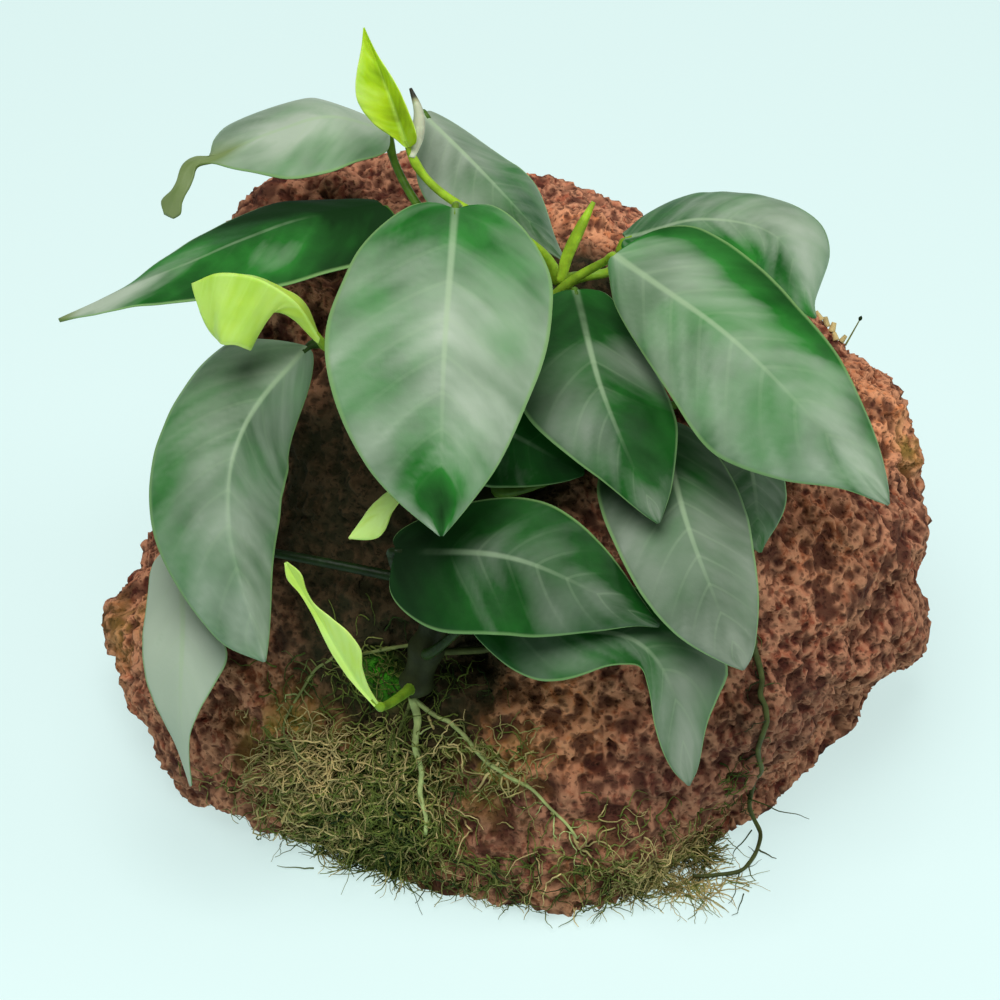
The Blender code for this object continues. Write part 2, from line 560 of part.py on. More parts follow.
def build_root(name, start_share, radius, places, line, ground, finish):
    """A root from the rhizome over the rock and down to the table."""
    radius *= MM
    clear = radius + ROOT_CLEAR * MM
    stops = [Vector((*place, 0)) for place in places]
    length = sum((b - a).length for a, b in zip(stops, stops[1:]))
    steps = max(4, round(length / ROOT_STEP))
    points = []
    for i in range(steps + 1):
        across, up, _ = smooth_path(stops, i / steps)
        place = ground.over_ground(across, up, clear)
        points.append(ground.lifted_clear(place, clear, clear))
    start = smooth_path(line, start_share)
    away = points[0] - start
    points.insert(0, start + away.normalized() * (RHIZOME_RADIUS * MM + radius + 2 * GAP))
    radii = [radius * (1 - 0.45 * i / steps) for i in range(steps + 2)]
    return add_tube(name, points, radii, finish)


def main():
    for old in list(bpy.data.objects):
        bpy.data.objects.remove(old)
    collection = bpy.data.collections.new("anubias_on_rock")
    bpy.context.scene.collection.children.link(collection)

    rock_finish = material("lava rock", (0.24, 0.10, 0.07), 0.95)
    rhizome_finish = material("rhizome", (0.10, 0.12, 0.03), 0.6)
    stalk_finish = material("stalk", (0.16, 0.30, 0.04), 0.5)
    root_finish = material("root", (0.20, 0.19, 0.10), 0.7)
    moss_finish = material("moss", (0.10, 0.12, 0.03), 0.9)
    finishes = {
        GREEN: material(GREEN, (0.06, 0.19, 0.06), 0.4),
        FRESH: material(FRESH, (0.38, 0.66, 0.06), 0.4),
    }

    ground = Ground()
    ground.add(build_rock("lava_rock", rock_finish))
    mats = [build_moss(name, centre, reach, thickness, ground, moss_finish)
            for name, (centre, reach, thickness) in MOSS.items()]
    line = rhizome_points(ground)
    build_rhizome(line, ground, rhizome_finish)
    for name, leaf in LEAVES.items():
        build_blade(name, leaf, finishes[leaf.kind])
        build_stalk(name, leaf, line, ground, stalk_finish)
    for mat in mats:
        ground.add(mat)
    for name, (start, radius, places) in ROOTS.items():
        build_root(name, start, radius, places, line, ground, root_finish)
    steps = 3 * (len(SHOOT) - 1)
    stops = [seen(*place) for place in SHOOT]
    widths = [Vector((radius * MM, 0, 0)) for radius in SHOOT_RADII]
    add_tube("new_shoot", [smooth_path(stops, i / steps) for i in range(steps + 1)],
             [smooth_path(widths, i / steps).x for i in range(steps + 1)], stalk_finish)


main()
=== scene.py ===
"""The finished look of an anubias rooted on a lump of red lava rock.

Blender 4.5, metres, +Z up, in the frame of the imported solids. Lengths in the tables are
millimetres. Places in the tables are given as they are seen from the front: across, up
the view, and out towards the viewer.
"""

import math
import random

import bmesh
import bpy
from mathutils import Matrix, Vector, noise
from mathutils.bvhtree import BVHTree


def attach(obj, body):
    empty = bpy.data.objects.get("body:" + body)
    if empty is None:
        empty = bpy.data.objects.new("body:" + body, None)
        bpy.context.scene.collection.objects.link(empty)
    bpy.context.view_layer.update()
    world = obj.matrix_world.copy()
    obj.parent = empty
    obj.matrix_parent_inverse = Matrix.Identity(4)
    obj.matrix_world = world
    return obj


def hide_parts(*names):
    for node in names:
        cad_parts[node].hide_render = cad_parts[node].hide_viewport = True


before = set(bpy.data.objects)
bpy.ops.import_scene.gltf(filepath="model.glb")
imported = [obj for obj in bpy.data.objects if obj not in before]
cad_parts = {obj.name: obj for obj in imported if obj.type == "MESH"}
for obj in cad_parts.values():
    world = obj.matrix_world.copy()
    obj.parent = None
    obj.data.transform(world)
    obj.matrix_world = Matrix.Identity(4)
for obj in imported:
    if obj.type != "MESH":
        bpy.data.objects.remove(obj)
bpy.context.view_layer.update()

MM = 0.001
SEED = 11

# The view that the plant is laid out for: the eye looks down at it from the front, and
# the picture has so many pixels across, so many of them to the millimetre.
VIEW_TILT = math.radians(34)
VIEW_DISTANCE = 900
VIEW_CENTRE = Vector((-4, 0, 59))
PICTURE_PIXELS = 1000
PIXELS_TO_MM = 4.2
VIEW_WIDTH = PICTURE_PIXELS / PIXELS_TO_MM
SENSOR_WIDTH = 36
ACROSS = Vector((1, 0, 0))
UP = Vector((0, math.sin(VIEW_TILT), math.cos(VIEW_TILT)))
OUT = Vector((0, -math.cos(VIEW_TILT), math.sin(VIEW_TILT)))

# The rhizome: the places of the view that it passes, its radius at the foot, how far it
# stands off the rock, and as shares of its radius its taper and its leaf scars.
RHIZOME_PATH = ((-20, -47), (-14, -25), (-5, -4), (2, 18), (9, 38), (15, 50))
RHIZOME_RADIUS = 3.8
RHIZOME_CLEARANCE = 0.7
RHIZOME_TAPER = 0.25
RHIZOME_STEPS = 120
RHIZOME_SIDES = 20
# How pale the rhizome is: kept dark as painted shade, for it lies in the shadow between the
# leaves.
RHIZOME_PAINTED_SHADE = 0.12
ROUND_END = 0.03
LEAF_SCARS = 12
SCAR_HEIGHT = 0.13
KNOB_HEIGHT = 0.06

# A blade's grid, how far its lobes reach back past the stalk and how fast they begin and
# end, and how far its cross lines and its side veins sweep towards the tip.
LEAF_ROWS = 72
LEAF_COLUMNS = 32
ROWS_CROWD = 1.4
LOBE_LENGTH = 4.5
LOBE_STARTS = 45
LOBE_ENDS = 8
BLADE_SWEEP = 0.10
VEIN_SWEEP = 0.12
VEIN_PAIRS = 9

# A blade's relief: its thickness, its veins and how far off the midrib they are full, the
# midrib's groove above and keel below, soft ripples, the share of the width from which
# the margin thins, and the margin's waves, which are full where half the blade is at
# least this wide.
LEAF_THICKNESS = 0.7
VEIN_HEIGHT = 0.07
VEIN_FULL_FROM = 4
RIB_WIDTH = 0.7
RIB_GROOVE = 0.25
RIB_KEEL = 0.7
RIPPLE_HEIGHT = 0.5
RIPPLE_LENGTH = 13
MARGIN_FROM = 0.9
MARGIN_THINNING = 0.75
WAVES = 9
WAVE_SLANT = 2
FULL_WAVE_WIDTH = 8

# A stalk: its radius, and as shares of that its girth at the rhizome and its taper, and
# where its knee under the blade and the sheath at its foot thicken it, and by how much.
STALK_RADIUS = 1.15
STALK_GIRTH = 1.15
STALK_TAPER = 0.42
KNEE_AT = 0.93
KNEE_LENGTH = 0.05
KNEE_SWELLING = 0.22
FOOT_LENGTH = 0.12
FOOT_SWELLING = 0.35

# How far a stalk leans off the rock, how far from the rhizome's middle it starts, its
# girth under the blade and at its very tip, and how far that tip runs on along the blade
# and up into it.
STALK_LEAN = 0.9
STALK_SEAT = 0.6
STALK_NECK = 0.75
STALK_TIP = 0.45
STALK_RUNS_ON = 2.5
STALK_RISES = 0.6
STALK_POINTS = 40
STALK_SIDES = 10

FRESH = "fresh_leaf"
GREEN = "leaf"


def outward(across, up, out):
    """A unit direction given in the view's own axes."""
    return (across * ACROSS + up * UP + out * OUT).normalized()


def seen(across, up, out):
    """The place, in metres, seen at this spot of the view and this far out."""
    nearer = 1 - out / VIEW_DISTANCE
    return (VIEW_CENTRE + nearer * (across * ACROSS + up * UP) + out * OUT) * MM


def spot_in_view(place):
    """How far across and up the view this place is seen."""
    aside = place / MM - VIEW_CENTRE
    nearer = 1 - aside.dot(OUT) / VIEW_DISTANCE
    return aside.dot(ACROSS) / nearer, aside.dot(UP) / nearer


def patches_at(place, patches):
    """What patches of the view add up to here, each with a middle, a reach and a change."""
    across, up = spot_in_view(place)
    return sum(change * math.exp(-((across - middle[0]) ** 2 + (up - middle[1]) ** 2) / reach**2)
               for middle, reach, change in patches)


def above_table(place, height=0.0):
    """The same place, but no lower than this many millimetres over the table."""
    return Vector((place.x, place.y, max(place.z, height * MM)))


class Leaf:
    """One leaf: its midrib through places of the view, and how its blade lies."""

    def __init__(self, midrib, width, faces, lift, left, right, stem, arch=0.1, wave=0.6,
                 lobe=LOBE_LENGTH, kind=GREEN, reach=(14, 12), leave=None,
                 bend=(0.5, 0.85), hangs=None):
        self.midrib = [seen(*place) for place in midrib]
        self.width = width * MM
        self.faces = outward(*faces)
        self.lift = [math.radians(angle) for angle in lift]
        self.outline = (left, right)
        self.stem = stem
        self.arch = arch
        self.wave = wave * MM
        self.lobe = lobe * MM
        self.kind = kind
        self.reach = [length * MM for length in reach]
        self.leave = leave
        self.bend = bend
        self.hangs = hangs and outward(*hangs)


# Each side's outline is its half width along the blade: shares of the length and of half
# the leaf's width, with a smooth curve between.
LEAVES = {
    "front": Leaf(
        ((-10.7, 69.5, 92), (-13.5, 30, 105), (-14, -8.6, 106)), 49, (0, 0.2, 1),
        lift=(-6, -6), lobe=7, stem=0.77,
        left=((0, 0.05), (0.03, 0.38), (0.09, 0.73), (0.15, 0.9), (0.29, 1.05),
              (0.46, 0.96), (0.7, 0.66), (0.84, 0.4), (1, 0.02)),
        right=((0, 0.05), (0.02, 0.3), (0.07, 0.64), (0.14, 0.87), (0.22, 0.91),
               (0.33, 0.87), (0.48, 0.73), (0.69, 0.5), (0.85, 0.26), (1, 0.02))),
    "left": Leaf(
        ((-46, 36.5, 74), (-61, 17, 88), (-64.5, -6, 92), (-56, -38.5, 88)), 45,
        (-0.2, 0.2, 0.97), lift=(-18, -58), arch=0.15, stem=0.41, bend=(1, 0.2),
        left=((0, 0.1), (0.02, 0.7), (0.06, 0.93), (0.2, 0.96), (0.35, 0.98),
              (0.55, 0.92), (0.7, 0.76), (0.85, 0.54), (0.93, 0.36), (1, 0.02)),
        right=((0, 0.05), (0.07, 0.34), (0.16, 0.54), (0.25, 0.66), (0.45, 0.67),
               (0.62, 0.63), (0.78, 0.4), (0.9, 0.2), (1, 0.02))),
    "left_low": Leaf(
        ((-76, -10, 60), (-75.5, -32, 70), (-76, -50, 70), (-73.6, -68, 62)), 21,
        (-0.3, 0.3, 0.9), lift=(-6, -10), stem=0.24, lobe=2, reach=(7, 10),
        left=((0, 0.1), (0.04, 0.7), (0.11, 0.87), (0.24, 1), (0.45, 0.86),
              (0.6, 0.56), (0.76, 0.25), (0.88, 0.12), (1, 0.02)),
        right=((0, 0.05), (0.17, 0.37), (0.25, 0.7), (0.33, 0.92), (0.42, 0.75),
               (0.6, 0.34), (0.7, 0.15), (0.85, 0.05), (1, 0.02))),
    "left_far": Leaf(
        ((-28, 70, 54), (-46, 67, 62), (-67, 59.5, 66), (-88, 50.5, 68), (-105, 42.8, 68)),
        36, (0, 0.85, 0.5), lift=(-8, -8), stem=0.7,
        left=((0, 0.1), (0.05, 0.67), (0.13, 0.9), (0.24, 1.08), (0.34, 0.93),
              (0.46, 0.66), (0.58, 0.38), (0.67, 0.14), (0.8, 0.05), (1, 0.02)),
        right=((0, 0.05), (0.03, 0.5), (0.1, 0.9), (0.2, 1), (0.35, 0.92),
               (0.52, 0.68), (0.7, 0.38), (0.9, 0.12), (1, 0.02))),
    "top_left": Leaf(
        ((-26.7, 88, 40), (-40, 91, 46), (-54, 87.5, 48), (-67, 81.6, 49),
         (-73.5, 79.5, 50), (-76.5, 74, 51), (-79, 67.5, 50)), 35, (0, 0.83, 0.56),
        lift=(-8, -12), stem=0.83, lobe=2, leave=(-0.9, 0.2, 0.3), bend=(0.3, 1),
        reach=(14, 12),
        left=((0, 0.1), (0.04, 0.95), (0.1, 1.3), (0.2, 1.08), (0.34, 0.92), (0.39, 0.55),
              (0.44, 0.09), (0.52, 0.18), (0.68, 0.09), (0.8, 0.12), (0.92, 0.25), (1, 0.08)),
        right=((0, 0.1), (0.03, 0.5), (0.11, 0.82), (0.18, 0.91), (0.28, 0.77),
               (0.36, 0.38), (0.44, 0.08), (0.65, 0.14), (0.85, 0.12), (0.94, 0.15),
               (1, 0.08))),
    "top_right": Leaf(
        ((-18, 92, 43), (-3.4, 77.5, 50), (15.5, 57, 47)), 33, (-0.1, 0.1, 1),
        lift=(-8, -66), stem=0.92, leave=(-0.4, 0.8, -0.1), bend=(0.2, 1), reach=(12, 12),
        left=((0, 0.1), (0.08, 0.35), (0.14, 0.59), (0.22, 0.77), (0.35, 0.85),
              (0.5, 0.7), (0.7, 0.35), (0.85, 0.15), (1, 0.02)),
        right=((0, 0.1), (0.065, 0.49), (0.12, 0.69), (0.19, 0.84), (0.3, 1.01),
               (0.52, 1.19), (0.63, 1.15), (0.72, 0.92), (0.87, 0.34), (1, 0.02))),
    "right_front": Leaf(
        ((27.4, 58.3, 70), (59, 35, 90), (92.6, -1, 84)), 41, (0.1, 0.15, 1),
        lift=(-8, -22), stem=0.87,
        left=((0, 0.03), (0.04, 0.2), (0.09, 0.43), (0.2, 0.67), (0.34, 0.87),
              (0.47, 0.99), (0.56, 0.95), (0.71, 0.65), (0.85, 0.26), (1, 0.02)),
        right=((0, 0.05), (0.01, 0.46), (0.045, 0.93), (0.09, 1.06), (0.2, 1.06),
               (0.39, 0.93), (0.58, 0.83), (0.7, 0.67), (0.85, 0.43), (0.95, 0.19),
               (1, 0.02))),
    "right_back": Leaf(
        ((29.8, 62.4, 48), (48, 66.5, 53), (66, 62.5, 53), (75, 43.3, 50)), 41,
        (0.2, 0.78, 0.6), lift=(-4, -6), stem=0.99, leave=(0.8, 0.2, 0.8),
        left=((0, 0.05), (0.05, 0.25), (0.15, 0.45), (0.3, 0.6), (0.42, 0.68), (0.6, 0.7),
              (0.8, 0.5), (1, 0.02)),
        right=((0, 0.05), (0.04, 0.2), (0.083, 0.55), (0.14, 0.83), (0.22, 0.98),
               (0.4, 1), (0.55, 1.06), (0.65, 1.04), (0.76, 0.78), (0.85, 0.42),
               (0.93, 0.12), (1, 0.02))),
    "middle": Leaf(
        ((18, 50, 62), (25, 24, 86), (37.8, -5.5, 89)), 36, (0.1, 0.25, 0.95),
        lift=(-8, -14), stem=0.63,
        left=((0, 0.05), (0.03, 0.35), (0.1, 0.7), (0.2, 0.95), (0.3, 1), (0.4, 0.92),
              (0.54, 0.66), (0.7, 0.39), (0.93, 0.12), (1, 0.02)),
        right=((0, 0.05), (0.02, 0.35), (0.07, 0.54), (0.23, 0.79), (0.35, 0.84),
               (0.52, 0.82), (0.63, 0.75), (0.85, 0.38), (0.94, 0.17), (1, 0.02))),
    "right_low": Leaf(
        ((38, 18, 68), (46, -10, 85), (58, -40.5, 87)), 31, (0.15, 0.2, 0.95),
        lift=(-8, -12), stem=0.46,
        left=((0, 0.05), (0.05, 0.6), (0.1, 0.9), (0.18, 1.08), (0.33, 1.05),
              (0.53, 0.9), (0.73, 0.64), (0.93, 0.22), (1, 0.02)),
        right=((0, 0.05), (0.05, 0.5), (0.15, 0.9), (0.28, 0.99), (0.43, 0.92),
               (0.69, 0.67), (0.89, 0.35), (0.96, 0.18), (1, 0.02))),
    "right_behind": Leaf(
        ((56, 25, 58), (60, 6, 65), (62, -12.5, 66)), 27, (0.3, 0.2, 0.9),
        lift=(-8, -10), stem=0.56,
        left=((0, 0.05), (0.08, 0.5), (0.2, 0.85), (0.34, 1), (0.55, 0.87), (0.75, 0.55),
              (0.9, 0.25), (1, 0.02)),
        right=((0, 0.05), (0.1, 0.4), (0.25, 0.6), (0.45, 0.64), (0.6, 0.58),
               (0.75, 0.4), (0.91, 0.14), (1, 0.02))),
    "lower": Leaf(
        ((-25, -12, 84), (5, -14.5, 91), (37.8, -30, 82)), 36, (0, 0.25, 0.95),
        lift=(-10, -6), stem=0.18, reach=(7, 6),
        left=((0, 0.1), (0.02, 0.45), (0.09, 0.8), (0.17, 0.94), (0.32, 0.94),
              (0.45, 0.88), (0.57, 0.76), (0.77, 0.38), (0.9, 0.13), (1, 0.02)),
        right=((0, 0.05), (0.05, 0.3), (0.12, 0.5), (0.24, 0.7), (0.38, 0.82),
               (0.49, 0.79), (0.68, 0.54), (0.9, 0.18), (1, 0.02))),
    "lower_right": Leaf(
        ((-7, -28.6, 74), (14.3, -30.5, 80), (32, -33.5, 80), (41, -45.5, 80),
         (45, -68, 77)), 26, (0.1, 0.3, 0.9), lift=(-8, -10), stem=0.11, lobe=2,
        reach=(5, 5),
        left=((0, 0.1), (0.09, 0.68), (0.15, 0.87), (0.21, 0.85), (0.32, 0.59),
              (0.42, 0.44), (0.5, 0.29), (0.6, 0.34), (0.75, 0.42), (0.86, 0.36),
              (0.94, 0.22), (1, 0.02)),
        right=((0, 0.1), (0.1, 0.5), (0.2, 0.8), (0.35, 1), (0.5, 1.05), (0.62, 1.15),
               (0.68, 1.1), (0.73, 0.8), (0.8, 0.5), (0.95, 0.2), (1, 0.02))),
    "behind_front": Leaf(
        ((-11, 22, 77), (5, 14.5, 77), (20, 6, 76)), 28, (0, 0.1, 0.98),
        lift=(-8, -8), stem=0.51, reach=(6, 6),
        left=((0, 0.05), (0.1, 0.6), (0.2, 0.85), (0.33, 0.91), (0.49, 0.75),
              (0.74, 0.43), (0.91, 0.18), (1, 0.02)),
        right=((0, 0.05), (0.08, 0.5), (0.2, 0.85), (0.34, 1), (0.55, 0.87), (0.75, 0.55),
               (0.9, 0.25), (1, 0.02))),
    "small_left": Leaf(
        ((-17, 11, 80), (-25, 0, 84), (-36, -9.2, 84)), 12, (-0.2, 0.3, 0.9),
        lift=(-6, -6), stem=0.33, lobe=1, kind=FRESH, reach=(6, 6),
        left=((0, 0.05), (0.3, 0.4), (0.58, 0.5), (0.8, 0.25), (1, 0.02)),
        right=((0, 0.05), (0.3, 0.12), (0.5, 0.25), (0.62, 0.56), (0.72, 0.64),
               (0.84, 0.45), (1, 0.02))),
    "new_top": Leaf(
        ((-22, 84, 62), (-26.5, 97, 66), (-32.4, 112.5, 68)), 15, (-0.2, -0.2, 1),
        lift=(40, 34), stem=0.97, lobe=0.5, arch=0.0, kind=FRESH,
        leave=(-0.2, 0.2, 1), bend=(1, 0), reach=(22, 18),
        left=((0, 0.1), (0.04, 0.48), (0.13, 0.64), (0.35, 0.59), (0.46, 0.49),
              (0.69, 0.17), (0.85, 0.07), (1, 0.02)),
        right=((0, 0.05), (0.1, 0.32), (0.2, 0.68), (0.3, 0.91), (0.42, 1.02),
               (0.53, 0.91), (0.81, 0.32), (1, 0.02))),
    "new_left": Leaf(
        ((-43, 38.5, 84), (-48.5, 46.8, 90), (-57, 52.4, 95), (-66.5, 54, 96),
         (-73.3, 51.5, 94)),
        30, (-0.1, 0.3, 0.95), lift=(-70, -25), stem=0.57, lobe=0.5, kind=FRESH,
        bend=(0.8, 0.5), hangs=(0, -1, 0),
        left=((0, 0.1), (0.1, 0.35), (0.3, 0.45), (0.6, 0.45), (0.88, 0.35), (1, 0.05)),
        right=((0, 0.1), (0.1, 0.22), (0.24, 0.28), (0.31, 0.42), (0.35, 0.74),
               (0.39, 0.98), (0.44, 1.02), (0.54, 1), (0.66, 1), (0.77, 0.93),
               (0.88, 0.78), (0.95, 0.52), (1, 0.08))),
    "new_low": Leaf(
        ((-29.5, -48.8, 76), (-33.8, -43.8, 77), (-38, -37, 78), (-42.4, -29, 79),
         (-46.4, -22.6, 80), (-51, -14.8, 80)), 13, (-0.3, 0.1, 0.95), lift=(20, 30),
        stem=0.03, lobe=0.5, kind=FRESH, reach=(3, 4),
        left=((0, 0.1), (0.1, 0.24), (0.22, 0.52), (0.3, 0.84), (0.4, 0.76), (0.5, 0.42),
              (0.62, 0.14), (0.75, 0.14), (0.87, 0.3), (1, 0.06)),
        right=((0, 0.1), (0.13, 0.12), (0.24, 0.2), (0.36, 0.24), (0.6, 0.15),
               (0.76, 0.14), (0.89, 0.26), (1, 0.06))),
}

# The painted sheen on each leaf's upper face, a painted reflection of the lamps, from 1.5
# for the palest, past 0 for bare green, to -1 for the darkest painted shade, and the
# patches where it changes: each at a share of the length and of the width, its reach both
# ways, and the change.
PAINTED_SHEEN_AND_SHADE = {
    "front": (0.58, ((0.92, 0.05, 0.17, 0.7, -1.4), (0.04, 0, 0.16, 1.2, -0.75),
                     (0.68, -0.4, 0.12, 0.4, -0.1), (0.45, 0.35, 0.3, 0.5, 0.2),
                     (0.5, 0.95, 0.35, 0.3, 0.05))),
    "left": (0.4, ((0.05, 0, 0.2, 1.5, 0.2), (0.45, 0.2, 0.3, 0.6, 0.1),
                   (0.88, 0.2, 0.3, 1.0, 0.35), (0.3, -0.9, 0.3, 0.4, -0.3))),
    "left_low": (1.35, ()),
    "left_far": (-1.1, ((0.34, 0.55, 0.13, 0.5, 1.1), (0.5, -0.4, 0.15, 0.6, 0.6),
                         (0.88, 0, 0.31, 1.5, 2.65))),
    "top_left": (0.9, ((0.1, 0.8, 0.3, 0.5, -0.6), (0.3, -0.8, 0.3, 0.5, -0.3))),
    "top_right": (0.9, ((0.85, 0, 0.45, 1.2, -0.7), (0.5, 0.9, 0.3, 0.5, -0.4))),
    "right_front": (0.32, ((0.25, 0.95, 0.45, 0.28, -0.9), (0.95, 0, 0.2, 1.5, 0.1),
                           (0.8, 0.2, 0.25, 1.0, 0.25), (0.12, -0.3, 0.15, 0.6, 0.25))),
    "right_back": (0.08, ((0.7, 0.5, 0.35, 0.8, 0.75), (0.3, -0.8, 0.3, 0.4, -0.2))),
    "middle": (0.15, ((0.7, 0.5, 0.18, 0.6, -0.5), (0.3, 0.6, 0.12, 0.6, 0.5),
                     (0.5, -0.6, 0.2, 0.5, 0.5), (0.1, 0, 0.12, 1.5, -0.7),
                     (0.94, -0.1, 0.1, 1.0, 0.6))),
    "right_low": (0.74, ((0.12, 0, 0.18, 1.5, -0.7),)),
    "right_behind": (0.3, ()),
    "lower": (0.14, ((0.02, 0, 0.22, 1.5, -1.2), (0.28, -0.4, 0.1, 0.6, 0.35),
                     (0.68, -0.35, 0.18, 0.5, 0.5), (0.78, 0.7, 0.2, 0.4, -0.4))),
    "lower_right": (0.0, ((0.0, 0, 0.1, 1.5, -0.4), (0.17, -0.3, 0.1, 1.0, 0.5),
                          (0.88, 0, 0.25, 1.5, 1.05))),
    "behind_front": (-0.2, ((0.5, -0.8, 0.3, 0.4, 0.2),)),
    "small_left": (1.0, ()),
    "new_top": (-0.05, ((0.5, 0.9, 0.4, 0.4, 0.3), (0.3, 0.0, 0.35, 0.25, -0.3))),
    "new_left": (0.55, ((0.1, 0, 0.2, 1.5, -0.3),)),
    "new_low": (0.75, ((0.8, 0, 0.3, 1.5, -0.2),)),
}
SHEEN_AND_SHADE_LOWEST = -1.0
SHEEN_AND_SHADE_HIGHEST = 1.5

# How much streaks along the side veins and blotches change every leaf's painted sheen.
STREAKS = 0.25
BLOTCHES = 0.26

# Painted shade: how much darker some leaves that lie in the shade of others are than the
# rest.
PAINTED_LEAF_SHADE = {"middle": 0.46, "lower": 0.5, "lower_right": 0.4, "top_right": 0.2, "left": 0.08,
          "right_behind": 0.3, "behind_front": 0.3, "right_low": 0.45}

# The share of the blade's length from which its tip is dry and brown, and how far that
# fades on either side.
DRY_FROM = {"top_left": 0.42, "left_far": 0.94}
DRY_FADE = 0.04
NEVER_DRY = 1.3

# How bright each stalk is, where it differs from the rest: those that run through the shadow
# between the leaves are painted dark, as painted shade.
STALK_PAINTED_SHADES = {
    "front": 0.6, "new_top": 0.9, "new_left": 0.8, "right_front": 0.8, "right_back": 0.7,
    "left_low": 0.0, "left": 0.15, "lower": 0.05, "lower_right": 0.1, "top_left": 0.5,
    "small_left": 0.2, "left_far": 0.3, "new_low": 0.7,
}
STALK_SHADE = 0.35

# Roots: the share along the rhizome where each leaves it, its radius, the places of the
# view that it passes, its rootlets, and its shade from dark to pale.
ROOTS = {
    "root_front": (0.0, 0.95, ((-19.5, -53), (-20, -60), (-19.2, -70), (-18, -80)), 16, 0.9),
    "root_left": (0.0, 0.5, ((-22.5, -52.5), (-26, -58), (-30.5, -64), (-36.5, -71.5)),
                  12, 0.4),
    "root_right": (0.0, 0.62, ((-16, -51), (-9, -55), (-3, -63), (5, -67), (12, -73.5),
                              (18, -80)), 20, 0.8),
    "root_far_left": (0.12, 0.42, ((-30, -36), (-41, -37.5), (-47.5, -45.5), (-51, -53),
                                  (-49.5, -61), (-44, -69)), 12, 0.6),
    "root_loop": (0.1, 0.85, ((-4, -36), (10, -30), (30, -24), (48, -24), (58, -30),
                             (61.5, -40), (62, -50), (61.5, -60), (61, -70), (62, -79),
                             (58.6, -86.4), (51, -88.6), (46, -87.5)), 30, 0.25),
}

# The rolled new shoot, from its foot to its tip.
SHOOT = ((14.5, 52, 52), (16, 58, 54), (19, 64.5, 56), (22.3, 71, 57))
SHOOT_RADII = (1.1, 1.35, 1.25, 0.5)
SHOOT_STEPS = 24
SHOOT_SHADE = 0.95
SHOOT_SIDES = 12

# The papery sheath beside the newest leaf, from the stalk's top to its tip, and the shares
# of its length between which it turns dark.
SHEATH = ((-21, 81.5, 61), (-19.6, 87, 60.5), (-19.4, 92.5, 59.5), (-21.3, 98, 58.5))
SHEATH_RADII = (0.7, 1.5, 1.1, 0.35)
SHEATH_STEPS = 30
SHEATH_DARKENS = (0.72, 0.9)


# Paths, tubes and pieces

def smooth_path(points, at):
    """The place at share 0 to 1 of a smooth curve through the points."""
    spans = len(points) - 1
    at = min(max(at, 0.0), 1.0) * spans
    i = min(int(at), spans - 1)
    t = at - i
    before = points[i - 1] if i else 2 * points[0] - points[1]
    after = points[i + 2] if i + 2 <= spans else 2 * points[-1] - points[-2]
    a, b = points[i], points[i + 1]
    return 0.5 * (2 * a + (b - before) * t + (2 * before - 5 * a + 4 * b - after) * t**2
                  + (3 * a - before - 3 * b + after) * t**3)


def path_direction(points, at, step=0.02):
    """The unit direction of the smooth curve at that share."""
    ahead = smooth_path(points, min(at + step, 1))
    behind = smooth_path(points, max(at - step, 0))
    return (ahead - behind).normalized()


def random_turn(rng):
    """A direction that is any way at all."""
    return Vector((rng.gauss(0, 1), rng.gauss(0, 1), rng.gauss(0, 1))).normalized()


def between(low, high, value):
    """0 below low, 1 above high and smooth between them."""
    t = min(max((value - low) / (high - low), 0.0), 1.0)
    return t * t * (3 - 2 * t)


def add_piece(name, mesh, finish, slot, *nodes):
    """A finished piece that rides with the part and stands for these solids."""
    piece = bpy.data.objects.new(name, mesh)
    mesh.name = name
    mesh.materials.clear()
    mesh.materials.append(finish)
    for face in mesh.polygons:
        face.use_smooth = True
    bpy.context.scene.collection.objects.link(piece)
    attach(piece, "root")
    if nodes:
        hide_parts(*nodes)


def surface_of(mesh):
    """A mesh's surface, for laying things on."""
    bm = bmesh.new()
    bm.from_mesh(mesh)
    tree = BVHTree.FromBMesh(bm)
    bm.free()
    return tree


def set_values(mesh, values):
    """Numbers for each point of the mesh, for its material to read by their names."""
    for name, numbers in values.items():
        mesh.attributes.new(name, "FLOAT", "POINT").data.foreach_set("value", numbers)


def worked_mesh(mesh, *modifiers):
    """The mesh after these modifiers, each given as its kind and its settings."""
    worked = bpy.data.objects.new("worked_form", mesh)
    bpy.context.scene.collection.objects.link(worked)
    for kind, settings in modifiers:
        modifier = worked.modifiers.new(kind.lower(), kind)
        for key, value in settings.items():
            setattr(modifier, key, value)
    graph = bpy.context.evaluated_depsgraph_get()
    made = bpy.data.meshes.new_from_object(worked.evaluated_get(graph))
    bpy.data.objects.remove(worked)
    return made


class Threads:
    """Gathers closed tubes into one mesh, with a shade for each of them."""

    def __init__(self):
        self.points = []
        self.faces = []
        self.shades = []

    def add(self, places, radii, sides, shade):
        """A tube through these places, closed at both ends and kept above the table."""
        first, last = len(self.points), len(places) - 1
        turn = (places[1] - places[0]).orthogonal().normalized()
        for i, (place, radius) in enumerate(zip(places, radii)):
            along = (places[min(i + 1, last)] - places[max(i - 1, 0)]).normalized()
            turn = (turn - along * turn.dot(along)).normalized()
            other = along.cross(turn)
            for k in range(sides):
                angle = 2 * math.pi * k / sides
                offset = turn * math.cos(angle) + other * math.sin(angle)
                self.points.append(above_table(place + offset * radius))
        for i in range(last):
            for k in range(sides):
                a = first + i * sides + k
                b = first + i * sides + (k + 1) % sides
                self.faces.append((a, b, b + sides, a + sides))
        end = first + last * sides
        self.faces.append(tuple(range(first + sides - 1, first - 1, -1)))
        self.faces.append(tuple(range(end, end + sides)))
        self.shades.extend([shade] * ((last + 1) * sides))

    def mesh(self):
        """All the tubes as one mesh."""
        made = bpy.data.meshes.new("threads")
        made.from_pydata(self.points, [], self.faces)
        set_values(made, {"shade": self.shades})
        return made


# The rock

